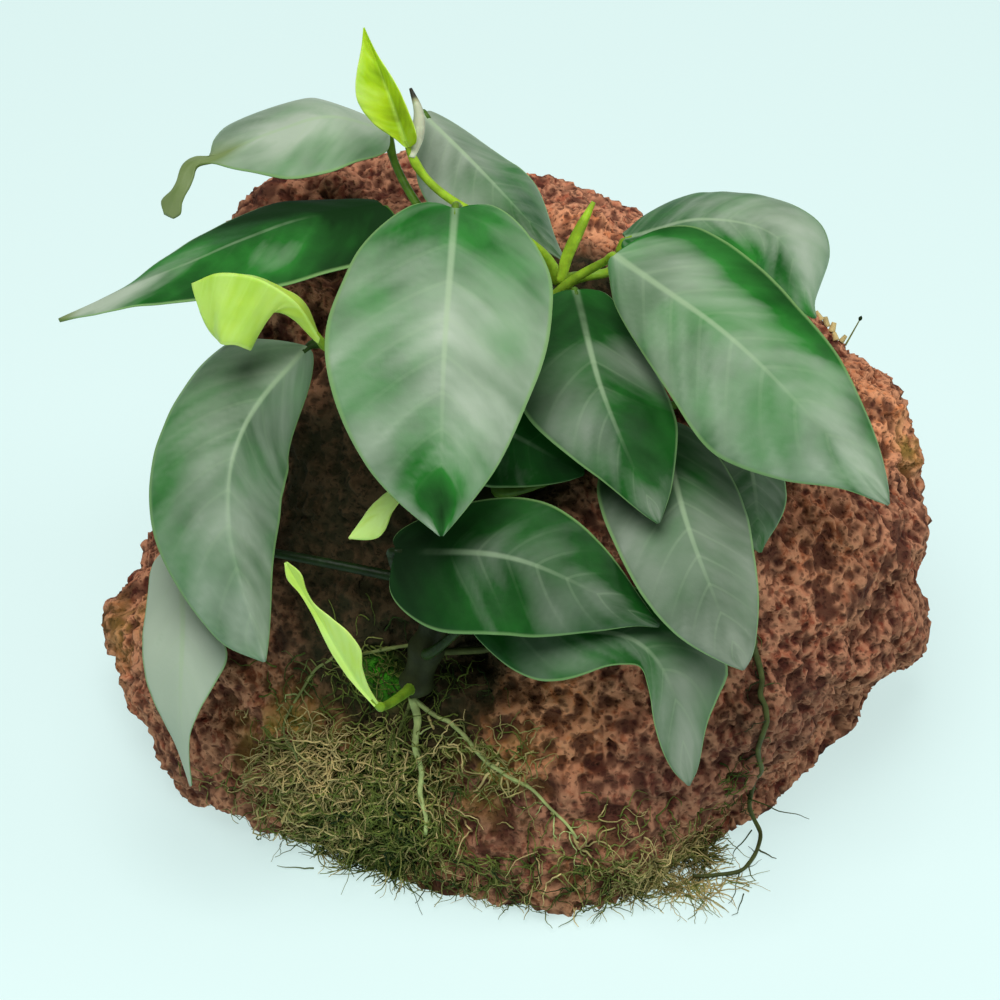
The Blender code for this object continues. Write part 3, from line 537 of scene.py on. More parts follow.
# The rock's skin: its cells before and its triangles after it is roughened, how often its
# facets are softened, how far its walls stand out, and how high its foot is cut flat.
ROCK_CELL = 0.74
ROCK_TRIANGLES = 196000
ROCK_SOFTENING = 14
ROCK_RISE = 0.7
FOOT_SKIN = 0.5

# Gas bubbles in the rock: the spacing of each size, the share of them that broke open,
# how far an open one reaches as a share of the spacing, and how deep it is.
BUBBLES = (
    (9.0, 0.10, 0.45, 2.2),
    (5.2, 0.28, 0.52, 1.9),
    (3.3, 0.60, 0.56, 1.6),
    (2.3, 0.75, 0.60, 1.2),
)

# How flat the bubbles are, how far and over what distance they drift out of line, and how
# near to the next bubble a wall begins and ends.
BUBBLE_STRETCH = 0.7
BUBBLE_DRIFT = ((6, 1.6), (2.1, 0.8))
WALL_WIDTH = (0.02, 0.16)

# How deep the bubbles are from one part of the rock to the next, as a share of their own
# depth: the usual share, how much it changes, over what distance, and the least.
DEEPNESS = 0.75
DEEPNESS_CHANGE = 0.7
DEEPNESS_SPACING = 19
DEEPNESS_LEAST = 0.5

# Crags, each with its size and height, and ledges.
CRAGS = ((15, 2.2), (5, 0.9), (1.9, 0.45))
LEDGE_SPACING = 9
LEDGE_HEIGHT = 1.2

# Places on the rock with a colour of their own, and places of painted shade: purple-grey on
# the lower faces, and near-black, partly damp, in the gap between the leaves. For each: the
# middle in the view, the reach, and the strength. The painted shade and damp run along the
# rhizome too.
ZONES = {
    "rust": (((4, -53), 11, 1.2), ((14, -55), 12, 1.2), ((92, 24), 18, 1.2),
             ((20, 64), 12, 0.9), ((-88, -29), 11, 0.8), ((78, -10), 14, 0.5)),
    "olive": (((-48, -59.5), 11, 1.0), ((-4, -62), 10, 0.7), ((98.8, 13), 6, 0.5),
              ((-30, -70), 20, 0.5), ((20, -86), 12, 0.15), ((-88, -29), 12, 0.35)),
    # Painted shade, purple-grey, on the rock's lower faces.
    "painted_lower_shade": (((69, -57), 17, 0.8), ((45, -62), 12, 0.5), ((96, -40), 12, 0.3),
             ((0, -74), 15, 1.0), ((30, -72), 14, 0.6), ((-60, -60), 12, 0.3)),
    "painted_shade_and_damp": (((-37, 14), 19, 1.0), ((-38, -10), 21, 1.0), ((-34, -32), 17, 0.9),
             ((-8, -40), 9, 0.9), ((-20, -48), 7, 0.8), ((20, 30), 22, 0.8),
             ((-40, 55), 12, 0.5), ((61, -50), 6, 0.5)),
    "algae": (((-29.5, -40), 3.5, 1.0), ((-26, -45), 3, 0.7)),
}
# How far the painted shade and damp reach from the rhizome, and at how many spots along it.
SHADE_AND_DAMP_REACH = 21
SHADE_AND_DAMP_SPOTS = 24

# Where the rock's edge is cut back or built up: the middle in the view, the reach, and by
# how many millimetres.
RESHAPED = (
    ((75, 46), 7, -3), ((86, 38), 8, -5), ((99, 17), 8, -3), ((102, 6), 7, -2.5),
    ((101, -19.5), 4, -3), ((98, -36), 6, 4), ((90, -47), 5, -2.5), ((84, -57), 8, -3.5),
    ((71, -69), 8, -3.5), ((56, -79), 7, -5), ((-87, -13), 7, -4), ((-94, -27), 5, 3),
    ((-93, -43), 7, -4), ((-86, -58), 8, -4), ((-79, -69), 6, -3), ((-61, 73), 9, 5),
    ((-5, -86), 12, 3), ((15, -88), 12, 4), ((30, -86), 8, 2),
)


def bubbles_at(place):
    """How deep the open bubbles are here, and how near the thin walls between them."""
    depth, wall = 0.0, 0.0
    drift = sum((noise.noise_vector(place / size) * far for size, far in BUBBLE_DRIFT), Vector())
    place = Vector((place.x, place.y, place.z * BUBBLE_STRETCH)) + drift
    for spacing, share_open, reach, deepest in BUBBLES:
        distances, centres = noise.voronoi(place / spacing)
        lot = noise.cell(centres[0] * 11.7) * 0.5 + 0.5
        if lot < share_open:
            near = distances[0] / reach
            if near < 1:
                depth = max(depth, deepest * math.sqrt(1 - near * near))
        wall = max(wall, 1 - between(*WALL_WIDTH, distances[1] - distances[0]))
    return depth, wall


def flatten_foot(mesh):
    """Makes one face of the flat foot, which stands on the table."""
    bm = bmesh.new()
    bm.from_mesh(mesh)
    sole = [face for face in bm.faces
            if max(vertex.co.z for vertex in face.verts) < FOOT_SKIN * MM]
    bmesh.ops.delete(bm, geom=sole, context="FACES")
    rim = [edge for edge in bm.edges if edge.is_boundary]
    for edge in rim:
        for vertex in edge.verts:
            vertex.co.z = 0
    bmesh.ops.holes_fill(bm, edges=rim)
    bm.to_mesh(mesh)
    bm.free()


def zone_places(surface):
    """The spots of each zone, as places on the rock with their reach and strength."""
    eye = seen(0, 0, VIEW_DISTANCE)
    found = {}
    for key, spots in ZONES.items():
        found[key] = []
        for spot, reach, strength in spots:
            hit = surface.ray_cast(eye, (seen(*spot, 0) - eye).normalized())[0]
            found[key].append((hit or seen(*spot, 0), reach * MM, strength))
    return found


def tint_at(place, spots):
    """How strongly a zone colours this place, from 0 to 1."""
    tint = sum(strength * math.exp(-((place - middle).length / reach) ** 2)
               for middle, reach, strength in spots)
    return min(tint, 1.0)


def rock_rise(home, depth):
    """How many millimetres the rock's skin stands off its smooth form here."""
    place = home / MM
    part = noise.noise(place / DEEPNESS_SPACING + Vector((5, 1, 8)))
    rise = ROCK_RISE - depth * max(DEEPNESS_LEAST, DEEPNESS + DEEPNESS_CHANGE * part)
    for size, height in CRAGS:
        rise += height * noise.fractal(place / size, 0.8, 2.1, 3)
    folds = 1 - 2 * abs(noise.noise(place / LEDGE_SPACING + Vector((9, 2, 5))))
    return rise + LEDGE_HEIGHT * folds + patches_at(home, RESHAPED)


def build_rock(line, finish):
    """The lava rock: the solid made fine, roughened, and eaten into by gas bubbles."""
    mesh = worked_mesh(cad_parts["lava_rock"].data.copy(),
                       ("REMESH", {"mode": "VOXEL", "voxel_size": ROCK_CELL * MM}),
                       ("SMOOTH", {"factor": 0.5, "iterations": ROCK_SOFTENING}))
    flatten_foot(mesh)
    zones = zone_places(surface_of(mesh))
    stem = [smooth_path(line, i / SHADE_AND_DAMP_SPOTS) for i in range(SHADE_AND_DAMP_SPOTS + 1)]
    values = {key: [] for key in ("pore", "wall", *zones)}
    normals = [vertex.normal.copy() for vertex in mesh.vertices]
    for vertex, normal in zip(mesh.vertices, normals):
        home = vertex.co.copy()
        depth, wall = bubbles_at(home / MM)
        moved = above_table(home + normal * rock_rise(home, depth) * MM)
        vertex.co = (moved.x, moved.y, moved.z if home.z > 0 else 0)
        values["pore"].append(depth / 2)
        values["wall"].append(wall)
        for key, spots in zones.items():
            values[key].append(tint_at(home, spots))
        # Painted shade, partly damp, along the rhizome, where the leaves shade the rock.
        away = min((home - spot).length for spot in stem)
        shade_and_wet = math.exp(-((away / (SHADE_AND_DAMP_REACH * MM)) ** 4))
        values["painted_shade_and_damp"][-1] = min(values["painted_shade_and_damp"][-1] + shade_and_wet, 1.0)
    set_values(mesh, values)
    kept = ROCK_TRIANGLES / sum(len(face.vertices) - 2 for face in mesh.polygons)
    mesh = worked_mesh(mesh, ("DECIMATE", {"ratio": kept}))
    add_piece("rock_skin", mesh, finish, "lava_rock", "lava_rock")
    return surface_of(mesh)


class Ground:
    """The solids of the rock and its moss, and the table, for laying things on."""

    def __init__(self):
        names = ("lava_rock", "moss_front", "moss_foot")
        self.trees = [surface_of(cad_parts[name].data) for name in names]
        self.finished = []

    def under_sight(self, across, up, height, layers=3):
        """The place on the ground that is seen here, raised by this height."""
        eye = seen(0, 0, VIEW_DISTANCE)
        sight = (seen(across, up, 0) - eye).normalized()
        reach = (height - eye.z) / sight.z
        place = eye + sight * reach
        for tree in self.trees[:layers]:
            hit, face, _, distance = tree.ray_cast(eye, sight)
            if hit is not None and distance < reach and hit.z > 0:
                place, reach = hit + face * height, distance
        return place

    def nearest(self, place):
        """The nearest spot of the finished rock, moss beds and table, and its way up."""
        spot, way_up, reach = Vector((place.x, place.y, 0)), Vector((0, 0, 1)), place.z
        for tree in self.finished:
            near, normal, _, distance = tree.find_nearest(place)
            if distance < reach:
                spot, way_up, reach = near, normal, distance
        return spot, way_up


# The rhizome and what grows on it

def rhizome_line(ground):
    """The rhizome's middle line, laid on the rock's face."""
    height = (RHIZOME_RADIUS + RHIZOME_CLEARANCE) * MM
    return [ground.under_sight(*place, height, 1) for place in RHIZOME_PATH]


def build_rhizome(line, finish):
    """The creeping stem, ringed by the scars of old leaves."""
    points, radii = [], []
    for i in range(RHIZOME_STEPS + 1):
        share = i / RHIZOME_STEPS
        ring = SCAR_HEIGHT * math.sin(2 * math.pi * LEAF_SCARS * share)
        ring += KNOB_HEIGHT * noise.noise(Vector((share * 40, 1, 2)))
        ends = max(min(1, share / ROUND_END, (1 - share) / ROUND_END), 0.02) ** 0.5
        radii.append(RHIZOME_RADIUS * MM * (1 - RHIZOME_TAPER * share + ring) * ends)
        points.append(smooth_path(line, share))
    stem = Threads()
    stem.add(points, radii, RHIZOME_SIDES, RHIZOME_PAINTED_SHADE)
    add_piece("rhizome_stem", stem.mesh(), finish, "rhizome", "rhizome")


def tube_through(places, radii, steps, shade):
    """A closed tube through places of the view, with a radius at each of them."""
    stops = [seen(*place) for place in places]
    widths = [Vector((radius * MM, 0, 0)) for radius in radii]
    shares = [i / steps for i in range(steps + 1)]
    tube = Threads()
    tube.add([smooth_path(stops, share) for share in shares],
             [smooth_path(widths, share).x for share in shares], SHOOT_SIDES, shade)
    return tube


def build_shoot(finish):
    """The rolled new shoot at the rhizome's tip."""
    shoot = tube_through(SHOOT, SHOOT_RADII, SHOOT_STEPS, SHOOT_SHADE)
    add_piece("shoot_tip", shoot.mesh(), finish, "stalk", "new_shoot")


def build_sheath(finish):
    """The pale papery sheath beside the newest leaf, with its dark dry tip."""
    sheath = tube_through(SHEATH, SHEATH_RADII, SHEATH_STEPS, 1.0)
    sheath.shades = [1 - between(*SHEATH_DARKENS, i // SHOOT_SIDES / SHEATH_STEPS)
                     for i in range(len(sheath.points))]
    add_piece("sheath", sheath.mesh(), finish, "stalk")


# Leaf blades and stalks

def outline_width(leaf, share, side):
    """The half width at this share of the length, as a share of half the leaf's width."""
    stops = leaf.outline[side]
    last = len(stops) - 1
    i = max(k for k in range(last) if stops[k][0] <= share)
    slopes = []
    for k in (i, i + 1):
        before, after = stops[max(k - 1, 0)], stops[min(k + 1, last)]
        slopes.append((after[1] - before[1]) / (after[0] - before[0]))
    run = stops[i + 1][0] - stops[i][0]
    t = (share - stops[i][0]) / run
    return (stops[i][1] * (1 + 2 * t) * (1 - t) ** 2 + stops[i + 1][1] * t * t * (3 - 2 * t)
            + run * t * (1 - t) * (slopes[0] * (1 - t) - slopes[1] * t))


def blade_frame(leaf, share):
    """The midrib's place and the blade's own side and face directions there."""
    along = path_direction(leaf.midrib, share)
    side = leaf.faces.cross(along).normalized()
    return smooth_path(leaf.midrib, share), along, side, along.cross(side).normalized()


def blade_point(leaf, share, across):
    """A point of the blade's middle surface, its face direction, and its distance out."""
    half = leaf.width / 2 * outline_width(leaf, share, 0 if across < 0 else 1)
    sweep = BLADE_SWEEP * math.sin(math.pi * share) * abs(across) ** 1.5
    place, along, side, face = blade_frame(leaf, share + sweep)
    swelling = (1 - share) ** LOBE_ENDS * (1 - math.exp(-LOBE_STARTS * share))
    lobe = leaf.lobe * swelling * abs(across)
    lift = leaf.lift[0] if across < 0 else leaf.lift[1]
    out = half * abs(across)
    wave = leaf.wave * math.sin(WAVES * share + WAVE_SLANT * across) * across**2
    rise = (out * math.sin(lift) - leaf.arch * out * out / (leaf.width / 2)
            + wave * min(1, half / MM / FULL_WAVE_WIDTH))
    if leaf.hangs and across > 0:
        side = (leaf.hangs - face * leaf.hangs.dot(face)).normalized()
    point = place - along * lobe + side * math.copysign(out * math.cos(lift), across)
    return point + face * rise, face, out


def painted_sheen_at(name, share, across):
    """The painted sheen at this spot of the blade, and below 0 its painted shade."""
    sheen_level, patches = PAINTED_SHEEN_AND_SHADE[name]
    for middle, aside, reach, reach_aside, change in patches:
        far = ((share - middle) / reach) ** 2 + ((across - aside) / reach_aside) ** 2
        sheen_level += change * math.exp(-far)
    swept = share - VEIN_SWEEP * abs(across)
    streak = noise.fractal(Vector((swept * VEIN_PAIRS * 1.5, across * 1.1, len(name) * 3.7)),
                           0.7, 2.2, 3)
    blotch = noise.noise(Vector((share * 5, across * 1.6, len(name) * 5.1)))
    sheen_level += STREAKS * streak + BLOTCHES * blotch
    return min(max(sheen_level, SHEEN_AND_SHADE_LOWEST), SHEEN_AND_SHADE_HIGHEST)


def build_blade(name, leaf, finish):
    """A leaf blade with its midrib, side veins, soft ripples and thin margin."""
    bm = bmesh.new()
    bmesh.ops.create_grid(bm, x_segments=LEAF_ROWS, y_segments=LEAF_COLUMNS, size=1)
    upper = bmesh.ops.extrude_face_region(bm, geom=bm.faces[:])["geom"]
    upper = [piece for piece in upper if isinstance(piece, bmesh.types.BMVert)]
    bmesh.ops.translate(bm, verts=upper, vec=(0, 0, 1))
    bmesh.ops.recalc_face_normals(bm, faces=bm.faces[:])
    values = {key: [] for key in ("along", "aside", "off_midrib", "upper", "painted_sheen", "dried",
                                  "vein", "painted_leaf_shade")}
    dry_from = DRY_FROM.get(name, NEVER_DRY)
    for vertex in bm.verts:
        across, top = vertex.co.y, vertex.co.z
        share = ((vertex.co.x + 1) / 2) ** ROWS_CROWD
        point, face, out = blade_point(leaf, share, across)
        off = out / MM
        groove = math.exp(-((off / RIB_WIDTH) ** 2)) * (1 - share)
        vein = VEIN_PAIRS * (share - VEIN_SWEEP * abs(across))
        fade = min(1, off / VEIN_FULL_FROM) * (1 - share**3)
        veins = math.cos(2 * math.pi * vein) * fade
        ripple = noise.noise(point / MM / RIPPLE_LENGTH + Vector((len(name), 0, 0)))
        ripple *= 1 - share**4
        thinned = max(0.0, (abs(across) - MARGIN_FROM) / (1 - MARGIN_FROM))
        depth = LEAF_THICKNESS / 2 * (1 - MARGIN_THINNING * thinned) * MM
        rise = (VEIN_HEIGHT * veins - RIB_GROOVE * groove * top + RIPPLE_HEIGHT * ripple) * MM
        rise += depth if top else -depth - RIB_KEEL * groove * MM
        vertex.co = point + face * rise
        for key, value in (("along", share), ("aside", across), ("off_midrib", off),
                           ("vein", vein), ("painted_leaf_shade", PAINTED_LEAF_SHADE.get(name, 0)),
                           ("upper", top), ("painted_sheen", painted_sheen_at(name, share, across)),
                           ("dried", between(dry_from - DRY_FADE, dry_from + DRY_FADE, share))):
            values[key].append(value)
    mesh = bpy.data.meshes.new(name)
    bm.to_mesh(mesh)
    bm.free()
    set_values(mesh, values)
    add_piece(name + "_blade", mesh, finish, leaf.kind, "leaf_" + name)


def build_stalk(name, leaf, line, ground, finish):
    """A round leaf stalk from the rhizome, thickened where it meets the blade."""
    place, along, _, face = blade_frame(leaf, 0)
    neck = STALK_RADIUS * STALK_NECK * MM
    end = place - along * neck - face * neck
    root = smooth_path(line, leaf.stem)
    creep = path_direction(line, leaf.stem)
    off_rock = ground.trees[0].find_nearest(root)[1]
    lean = (outward(*leaf.leave) if leaf.leave
            else (end - root).normalized() + off_rock * STALK_LEAN)
    lean = (lean - creep * lean.dot(creep)).normalized()
    start = root + lean * (RHIZOME_RADIUS * STALK_SEAT) * MM
    arrive = (along * leaf.bend[0] + face * leaf.bend[1]).normalized()
    handles = (start, start + lean * leaf.reach[0], end - arrive * leaf.reach[1], end)
    points, radii = [], []
    for i in range(STALK_POINTS):
        t = i / (STALK_POINTS - 1)
        weights = ((1 - t) ** 3, 3 * t * (1 - t) ** 2, 3 * t * t * (1 - t), t**3)
        points.append(sum((w * h for w, h in zip(weights, handles)), Vector()))
        knee = KNEE_SWELLING * math.exp(-(((t - KNEE_AT) / KNEE_LENGTH) ** 2))
        foot = FOOT_SWELLING * math.exp(-((t / FOOT_LENGTH) ** 2))
        radii.append(STALK_RADIUS * MM * (STALK_GIRTH - STALK_TAPER * t + knee + foot))
    points.append(end + (along * STALK_RUNS_ON + face * STALK_RISES) * MM)
    radii.append(STALK_RADIUS * STALK_TIP * MM)
    stalk = Threads()
    stalk.add(points, radii, STALK_SIDES, STALK_PAINTED_SHADES.get(name, STALK_SHADE))
    add_piece(name + "_stalk", stalk.mesh(), finish, "stalk", "stalk_" + name)


# Roots, rootlets and moss

# A root: how its middle lies off the rock and how deep it may sink, as shares of its
# radius, the spacing of its stops and steps, where round a stop the rock is looked at,
# how far it wanders, how far it may be moved to cling, how many steps it takes freely,
# how often its turns are eased, its knots, and how high it lies over the moss.
ROOT_CLING = 0.9
ROOT_SUNK = 0.6
ROOT_STOP_SPACING = 6
ROOT_STEP = 0.9
ROOT_LOOKS = (-2, 0, 2)
ROOT_WANDER = 0.9
ROOT_WANDER_LENGTH = 5
ROOT_MOVED_AT_MOST = 6
ROOT_FREE_STEPS = 4
ROOT_EASING = 7
ROOT_KNOTS = 0.16
ROOT_KNOT_LENGTH = 2.2
ROOT_SIDES = 8
ROOT_OVER_MOSS = 1.6

# The rootlets: how they differ in length, radius and shade, and how high they lie.
ROOTLET_LENGTHS = (4, 13)
ROOTLET_RADII = (0.12, 0.28)
ROOTLET_SHADES = (-0.25, 0.2)
ROOTLET_LIE = 0.25

# The strands and threads: how high a strand lies over the moss, over what length it
# wanders, a thread's steps, how high it lies on the table, and how loose ones differ in
# radius and in how high they lie.
STRAND_OVER_MOSS = 1.4
STRAND_WANDER_LENGTH = 4
STRAND_SIDES = 6
THREAD_STEP = 1.1
THREAD_LIFT = 0.3
THREAD_SIDES = 4
LOOSE_RADII = (0.12, 0.24)
LOOSE_LIE = (0.2, 0.9)
LOOSE_START = 0.4

# The hairs over the table: their radius, their shade, how far they sway and their steps.
HAIR_RADIUS = 0.2
HAIR_SHADE = 0.15
HAIR_SWAY = 2.2
HAIR_STEPS = 12

# Loose threads on the rock: the middle of each patch in the view, its reach, how many,
# their shortest and longest length, and their darkest and palest shade.
LOOSE_THREADS = (
    ((-48, -60), (10, 10), 120, (6, 20), (0.45, 0.95)),
    ((-1, -62), (15, 9), 90, (5, 15), (0.4, 0.85)),
    ((55.5, -67), (5, 6), 40, (3, 9), (0.1, 0.35)),
    ((-24, -42), (26, 9), 90, (6, 18), (0.05, 0.45)),
    ((-70, -66), (8, 6), 12, (4, 9), (0.3, 0.7)),
    ((35, -78), (24, 6), 70, (4, 12), (0.3, 0.9)),
    ((-32, -62), (22, 8), 160, (8, 22), (0.3, 0.8)),
    ((0, -86), (26, 4), 50, (5, 14), (0.2, 0.7)),
    ((43, -91), (11, 3.5), 170, (5, 13), (0.5, 1.0)),
    ((-32, -38), (8, 10), 40, (5, 12), (0.2, 0.6)),
)

# Moss: how high its dark bed stands as a share of the solid, how far the bed is sunk, how
# many threads it has, their length, their radius and their usual shade.
MATS = {
    "moss_front": (0.5, 0.2, 1150, (8, 24), (0.16, 0.34), 0.55),
    "moss_foot": (0.5, 0.0, 560, (5, 16), (0.13, 0.26), 0.5),
}

# How high each thread starts over its bed, and how much its shade differs.
MOSS_LIE = (0.1, 2)
MOSS_SHADE_SPREAD = 0.24
MOSS_SIDES = 3

# The mats whose bed shows between their threads.
BEDS = ("moss_front",)

# Where the moss grows thickest, and where it is paler: the middle in the view, the reach
# and the change.
THICK_MOSS = (((-29, -77), 14, 1.0), ((-46, -54), 8, 0.3), ((-44, -68), 9, 0.4),
              ((39, -89), 11, 0.8), ((-2, -91), 9, 0.15), ((18, -92), 9, 0.15),
              ((55, -84), 7, 0.5))
PALE_MOSS = (((-46, -56), 14, 0.7), ((39, -88), 12, 0.35), ((-2, -62), 12, 0.3),
             ((-24, -82), 12, -0.15))

# The least moss that grows on a mat, how deep its bed sinks where that is all, how high
# and wide the bed's lumps are, and its shade, how much that changes and over what length.
THIN_MOSS = 0.03
BARE_SINK = 2.5
BED_LUMPS = 1.1
BED_LUMP_SIZE = 2.2
BED_SHADE = 0.1
BED_MOTTLING = 0.25
BED_MOTTLE_SIZE = 4
BED_CUTS = 3

# Fine strands that fan out from the foot of the rhizome and fork off the roots: the
# places of the view that each passes, its radius and its shade.
STRANDS = (
    (((-21, -51), (-27, -66), (-31, -80)), 0.32, 0.55),
    (((-22, -51), (-36, -60), (-49, -67)), 0.28, 0.6),
    (((-17, -51), (-11, -62), (-1, -66)), 0.34, 0.8),
    (((0, -62), (-4, -67), (-8, -70)), 0.42, 1.0),
    (((2, -64), (3, -70), (7, -73)), 0.3, 0.9),
    (((13, -74), (14.5, -81), (14, -87)), 0.3, 0.7),
    (((17, -79), (21, -84), (25, -90)), 0.35, 0.8),
    (((18, -80), (24, -80), (29, -83)), 0.25, 0.8),
    (((-19, -72), (-15, -80), (-13, -88)), 0.3, 0.6),
    (((46, -80), (48, -84), (50, -87)), 0.3, 0.35),
)

# Fine hairs that reach out over the table: where each starts and ends in the view.
TABLE_HAIRS = (
    ((-26, -86), (-19, -98.5)), ((-20, -88), (-11, -91)), ((57, -89), (55, -97)),
    ((58, -94), (56, -99.5)), ((59, -71), (74, -77)), ((60, -77), (54, -87)),
    ((10, -93), (16, -97)), ((34, -94), (38, -98)), ((-38, -83), (-45, -86)),
)


def thread_over(ground, place, heading, length, lie, rng, wander=0.45, fall=0.0, stray=5):
    """The places of a thread that creeps over the ground, and not far over the table."""
    place = above_table(place, THREAD_LIFT)
    places = [place]
    for _ in range(max(4, round(length / THREAD_STEP))):
        near, way_up = ground.nearest(place)
        stray -= near.z <= 0
        if stray < 0 and len(places) > 4:
            break
        height = (place - near).dot(way_up)
        heading = heading + random_turn(rng) * wander + Vector((0, 0, -fall))
        heading = heading - way_up * heading.dot(way_up)
        heading = heading.normalized() + way_up * max(-1, min(1, lie - height / MM))
        place = above_table(place + heading.normalized() * (THREAD_STEP * MM), THREAD_LIFT)
        places.append(place)
    return places


def eased(places, times):
    """The same places along a path with its sharp turns taken out."""
    for _ in range(times):
        middle = [(a + 2 * b + c) / 4 for a, b, c in zip(places, places[1:], places[2:])]
        places = [places[0], *middle, places[-1]]
    return places


def path_in_view(places):
    """Places of the view as a path, and its length."""
    stops = [Vector((*place, 0)) for place in places]
    return stops, sum((b - a).length for a, b in zip(stops, stops[1:]))


def lay_strand(ground, places, radius):
    """The places of a strand laid on the ground through these places of the view."""
    stops, length = path_in_view(places)
    steps = max(8, round(length / THREAD_STEP))
    run = []
    for i in range(steps + 1):
        across, up, _ = smooth_path(stops, i / steps)
        spot = ground.under_sight(across, up, radius * MM)
        spot = spot + noise.noise_vector(spot / MM / STRAND_WANDER_LENGTH) * MM
        near, way_up = ground.nearest(spot)
        run.append(near + way_up * (radius + STRAND_OVER_MOSS * moss_thickness(near)) * MM)
    return eased(run, 1)


def tapered(radius, count, tip=0.35):
    """Radii that shrink evenly towards the tip."""
    return [radius * MM * (1 - (1 - tip) * i / (count - 1)) for i in range(count)]


def root_places(start, radius, places, ground):
    """The places of a root that leaves the rhizome and clings to the rock."""
    stops, length = path_in_view(places)
    coarse = [start]
    count = max(4, round(length / ROOT_STOP_SPACING))
    for i in range(count + 1):
        across, up, _ = smooth_path(stops, i / count)
        near = [ground.under_sight(across, up + step, radius * MM) for step in ROOT_LOOKS]
        out = max((spot / MM - VIEW_CENTRE).dot(OUT) for spot in near)
        coarse.append(seen(across, up, out))
    steps = round(length / ROOT_STEP)
    fine = []
    for i in range(steps + 1):
        spot = smooth_path(coarse, i / steps)
        wiggle = noise.noise_vector(spot / MM / ROOT_WANDER_LENGTH + Vector((radius * 9, 0, 0)))
        near, way_up = ground.nearest(spot + wiggle * ROOT_WANDER * MM)
        off_rock = radius * ROOT_CLING + ROOT_OVER_MOSS * moss_thickness(near)
        held = near + way_up * off_rock * MM
        clings = i >= ROOT_FREE_STEPS and (held - spot).length < ROOT_MOVED_AT_MOST * MM
        fine.append(held if clings else spot)
    fine = eased(fine, ROOT_EASING)
    for i in range(ROOT_FREE_STEPS, len(fine)):
        near, way_up = ground.nearest(fine[i])
        sunk = radius * ROOT_SUNK * MM - (fine[i] - near).dot(way_up)
        fine[i] = fine[i] + way_up * max(0, sunk)
    return eased(fine, 1)


def build_root(name, start_share, radius, places, rootlets, shade, line, ground, finish, rng):
    """A knotty root, with rootlets along it."""
    run = root_places(smooth_path(line, start_share), radius, places, ground)
    knots = [1 + ROOT_KNOTS * noise.noise(spot / MM / ROOT_KNOT_LENGTH) for spot in run]
    radii = [r * k for r, k in zip(tapered(radius, len(run), 0.5), knots)]
    root = Threads()
    root.add(run, radii, ROOT_SIDES, shade)
    for _ in range(rootlets):
        spot = rng.choice(run[len(run) // 4:])
        slim = rng.uniform(*ROOTLET_RADII)
        fine = thread_over(ground, spot, random_turn(rng), rng.uniform(*ROOTLET_LENGTHS),
                           ROOTLET_LIE, rng, wander=0.5, fall=0.25)
        root.add(fine, tapered(slim, len(fine)), THREAD_SIDES,
                 shade + rng.uniform(*ROOTLET_SHADES))
    add_piece("rootlets_" + name.removeprefix("root_"), root.mesh(), finish, "root", name)


def moss_thickness(place):
    """How thick the moss is here, from 0 to 1."""
    return min(1, patches_at(place, THICK_MOSS))


def build_bed(name, ground):
    """The dark bed of a moss mat, in the solid's form and closer to the rock."""
    bed_height, sunk_by = MATS[name][:2]
    solid = bmesh.new()
    solid.from_mesh(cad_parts[name].data)
    bmesh.ops.remove_doubles(solid, verts=solid.verts[:], dist=0.01 * MM)
    bmesh.ops.subdivide_edges(solid, edges=solid.edges[:], cuts=BED_CUTS, use_grid_fill=True)
    for vertex in solid.verts:
        near, off_rock = ground.trees[0].find_nearest(vertex.co)[:2]
        lump = BED_LUMPS * noise.fractal(near / MM / BED_LUMP_SIZE, 0.8, 2.0, 3)
        bare = BARE_SINK * (1 - moss_thickness(near))
        moved = near + (vertex.co - near) * bed_height + off_rock * (lump - sunk_by - bare) * MM
        vertex.co = above_table(moved)
    solid.normal_update()
    bed = Threads()
    bed.points = [vertex.co.copy() for vertex in solid.verts]
    bed.faces = [tuple(vertex.index for vertex in face.verts) for face in solid.faces]
    bed.shades = [BED_SHADE + BED_MOTTLING * noise.noise(place / MM / BED_MOTTLE_SIZE)
                  for place in bed.points]
    upper = [bed.faces[face.index] for face in solid.faces if face.normal.dot(OUT) > 0]
    solid.free()
    return bed, upper


def grow_moss(name, bed, upper, ground, finish, rng):
    """Threads all over a moss mat, some of them straying over its edge."""
    _, _, count, lengths, widths, usual = MATS[name]
    corners, weights = [], []
    for face in upper:
        a, b, c = (bed.points[i] for i in face[:3])
        corners.append((a, b, c))
        weights.append((b - a).cross(c - a).length * (THIN_MOSS + moss_thickness(a)))
    moss = bed if name in BEDS else Threads()
    for a, b, c in rng.choices(corners, weights=weights, k=count):
        s, t = sorted((rng.random(), rng.random()))
        place = a * s + b * (t - s) + c * (1 - t)
        near, way_up = ground.nearest(place)
        lie = rng.uniform(*MOSS_LIE)
        shade = rng.gauss(usual, MOSS_SHADE_SPREAD) + patches_at(place, PALE_MOSS)
        run = thread_over(ground, near + way_up * lie * MM, random_turn(rng),
                          rng.uniform(*lengths), lie, rng, wander=0.4, fall=0.12)
        moss.add(run, tapered(rng.uniform(*widths), len(run)), MOSS_SIDES,
                 min(1, max(0, shade)))
    add_piece(name.replace("_", "_mat_"), moss.mesh(), finish, "moss", name)


def hair_over_table(ground, start, end):
    """The places of a hair from the rock's foot out over the table."""
    a, _ = ground.nearest(ground.under_sight(*start, 0))
    b = ground.under_sight(*end, THREAD_LIFT * MM)
    run = []
    for i in range(HAIR_STEPS + 1):
        t = i / HAIR_STEPS
        sway = noise.noise_vector(Vector((start[0], t * 3, end[1]))) * HAIR_SWAY * MM * t
        spot = a + (b - a) * t + Vector((sway.x, sway.y, abs(sway.z)))
        run.append(above_table(spot, THREAD_LIFT))
    return run


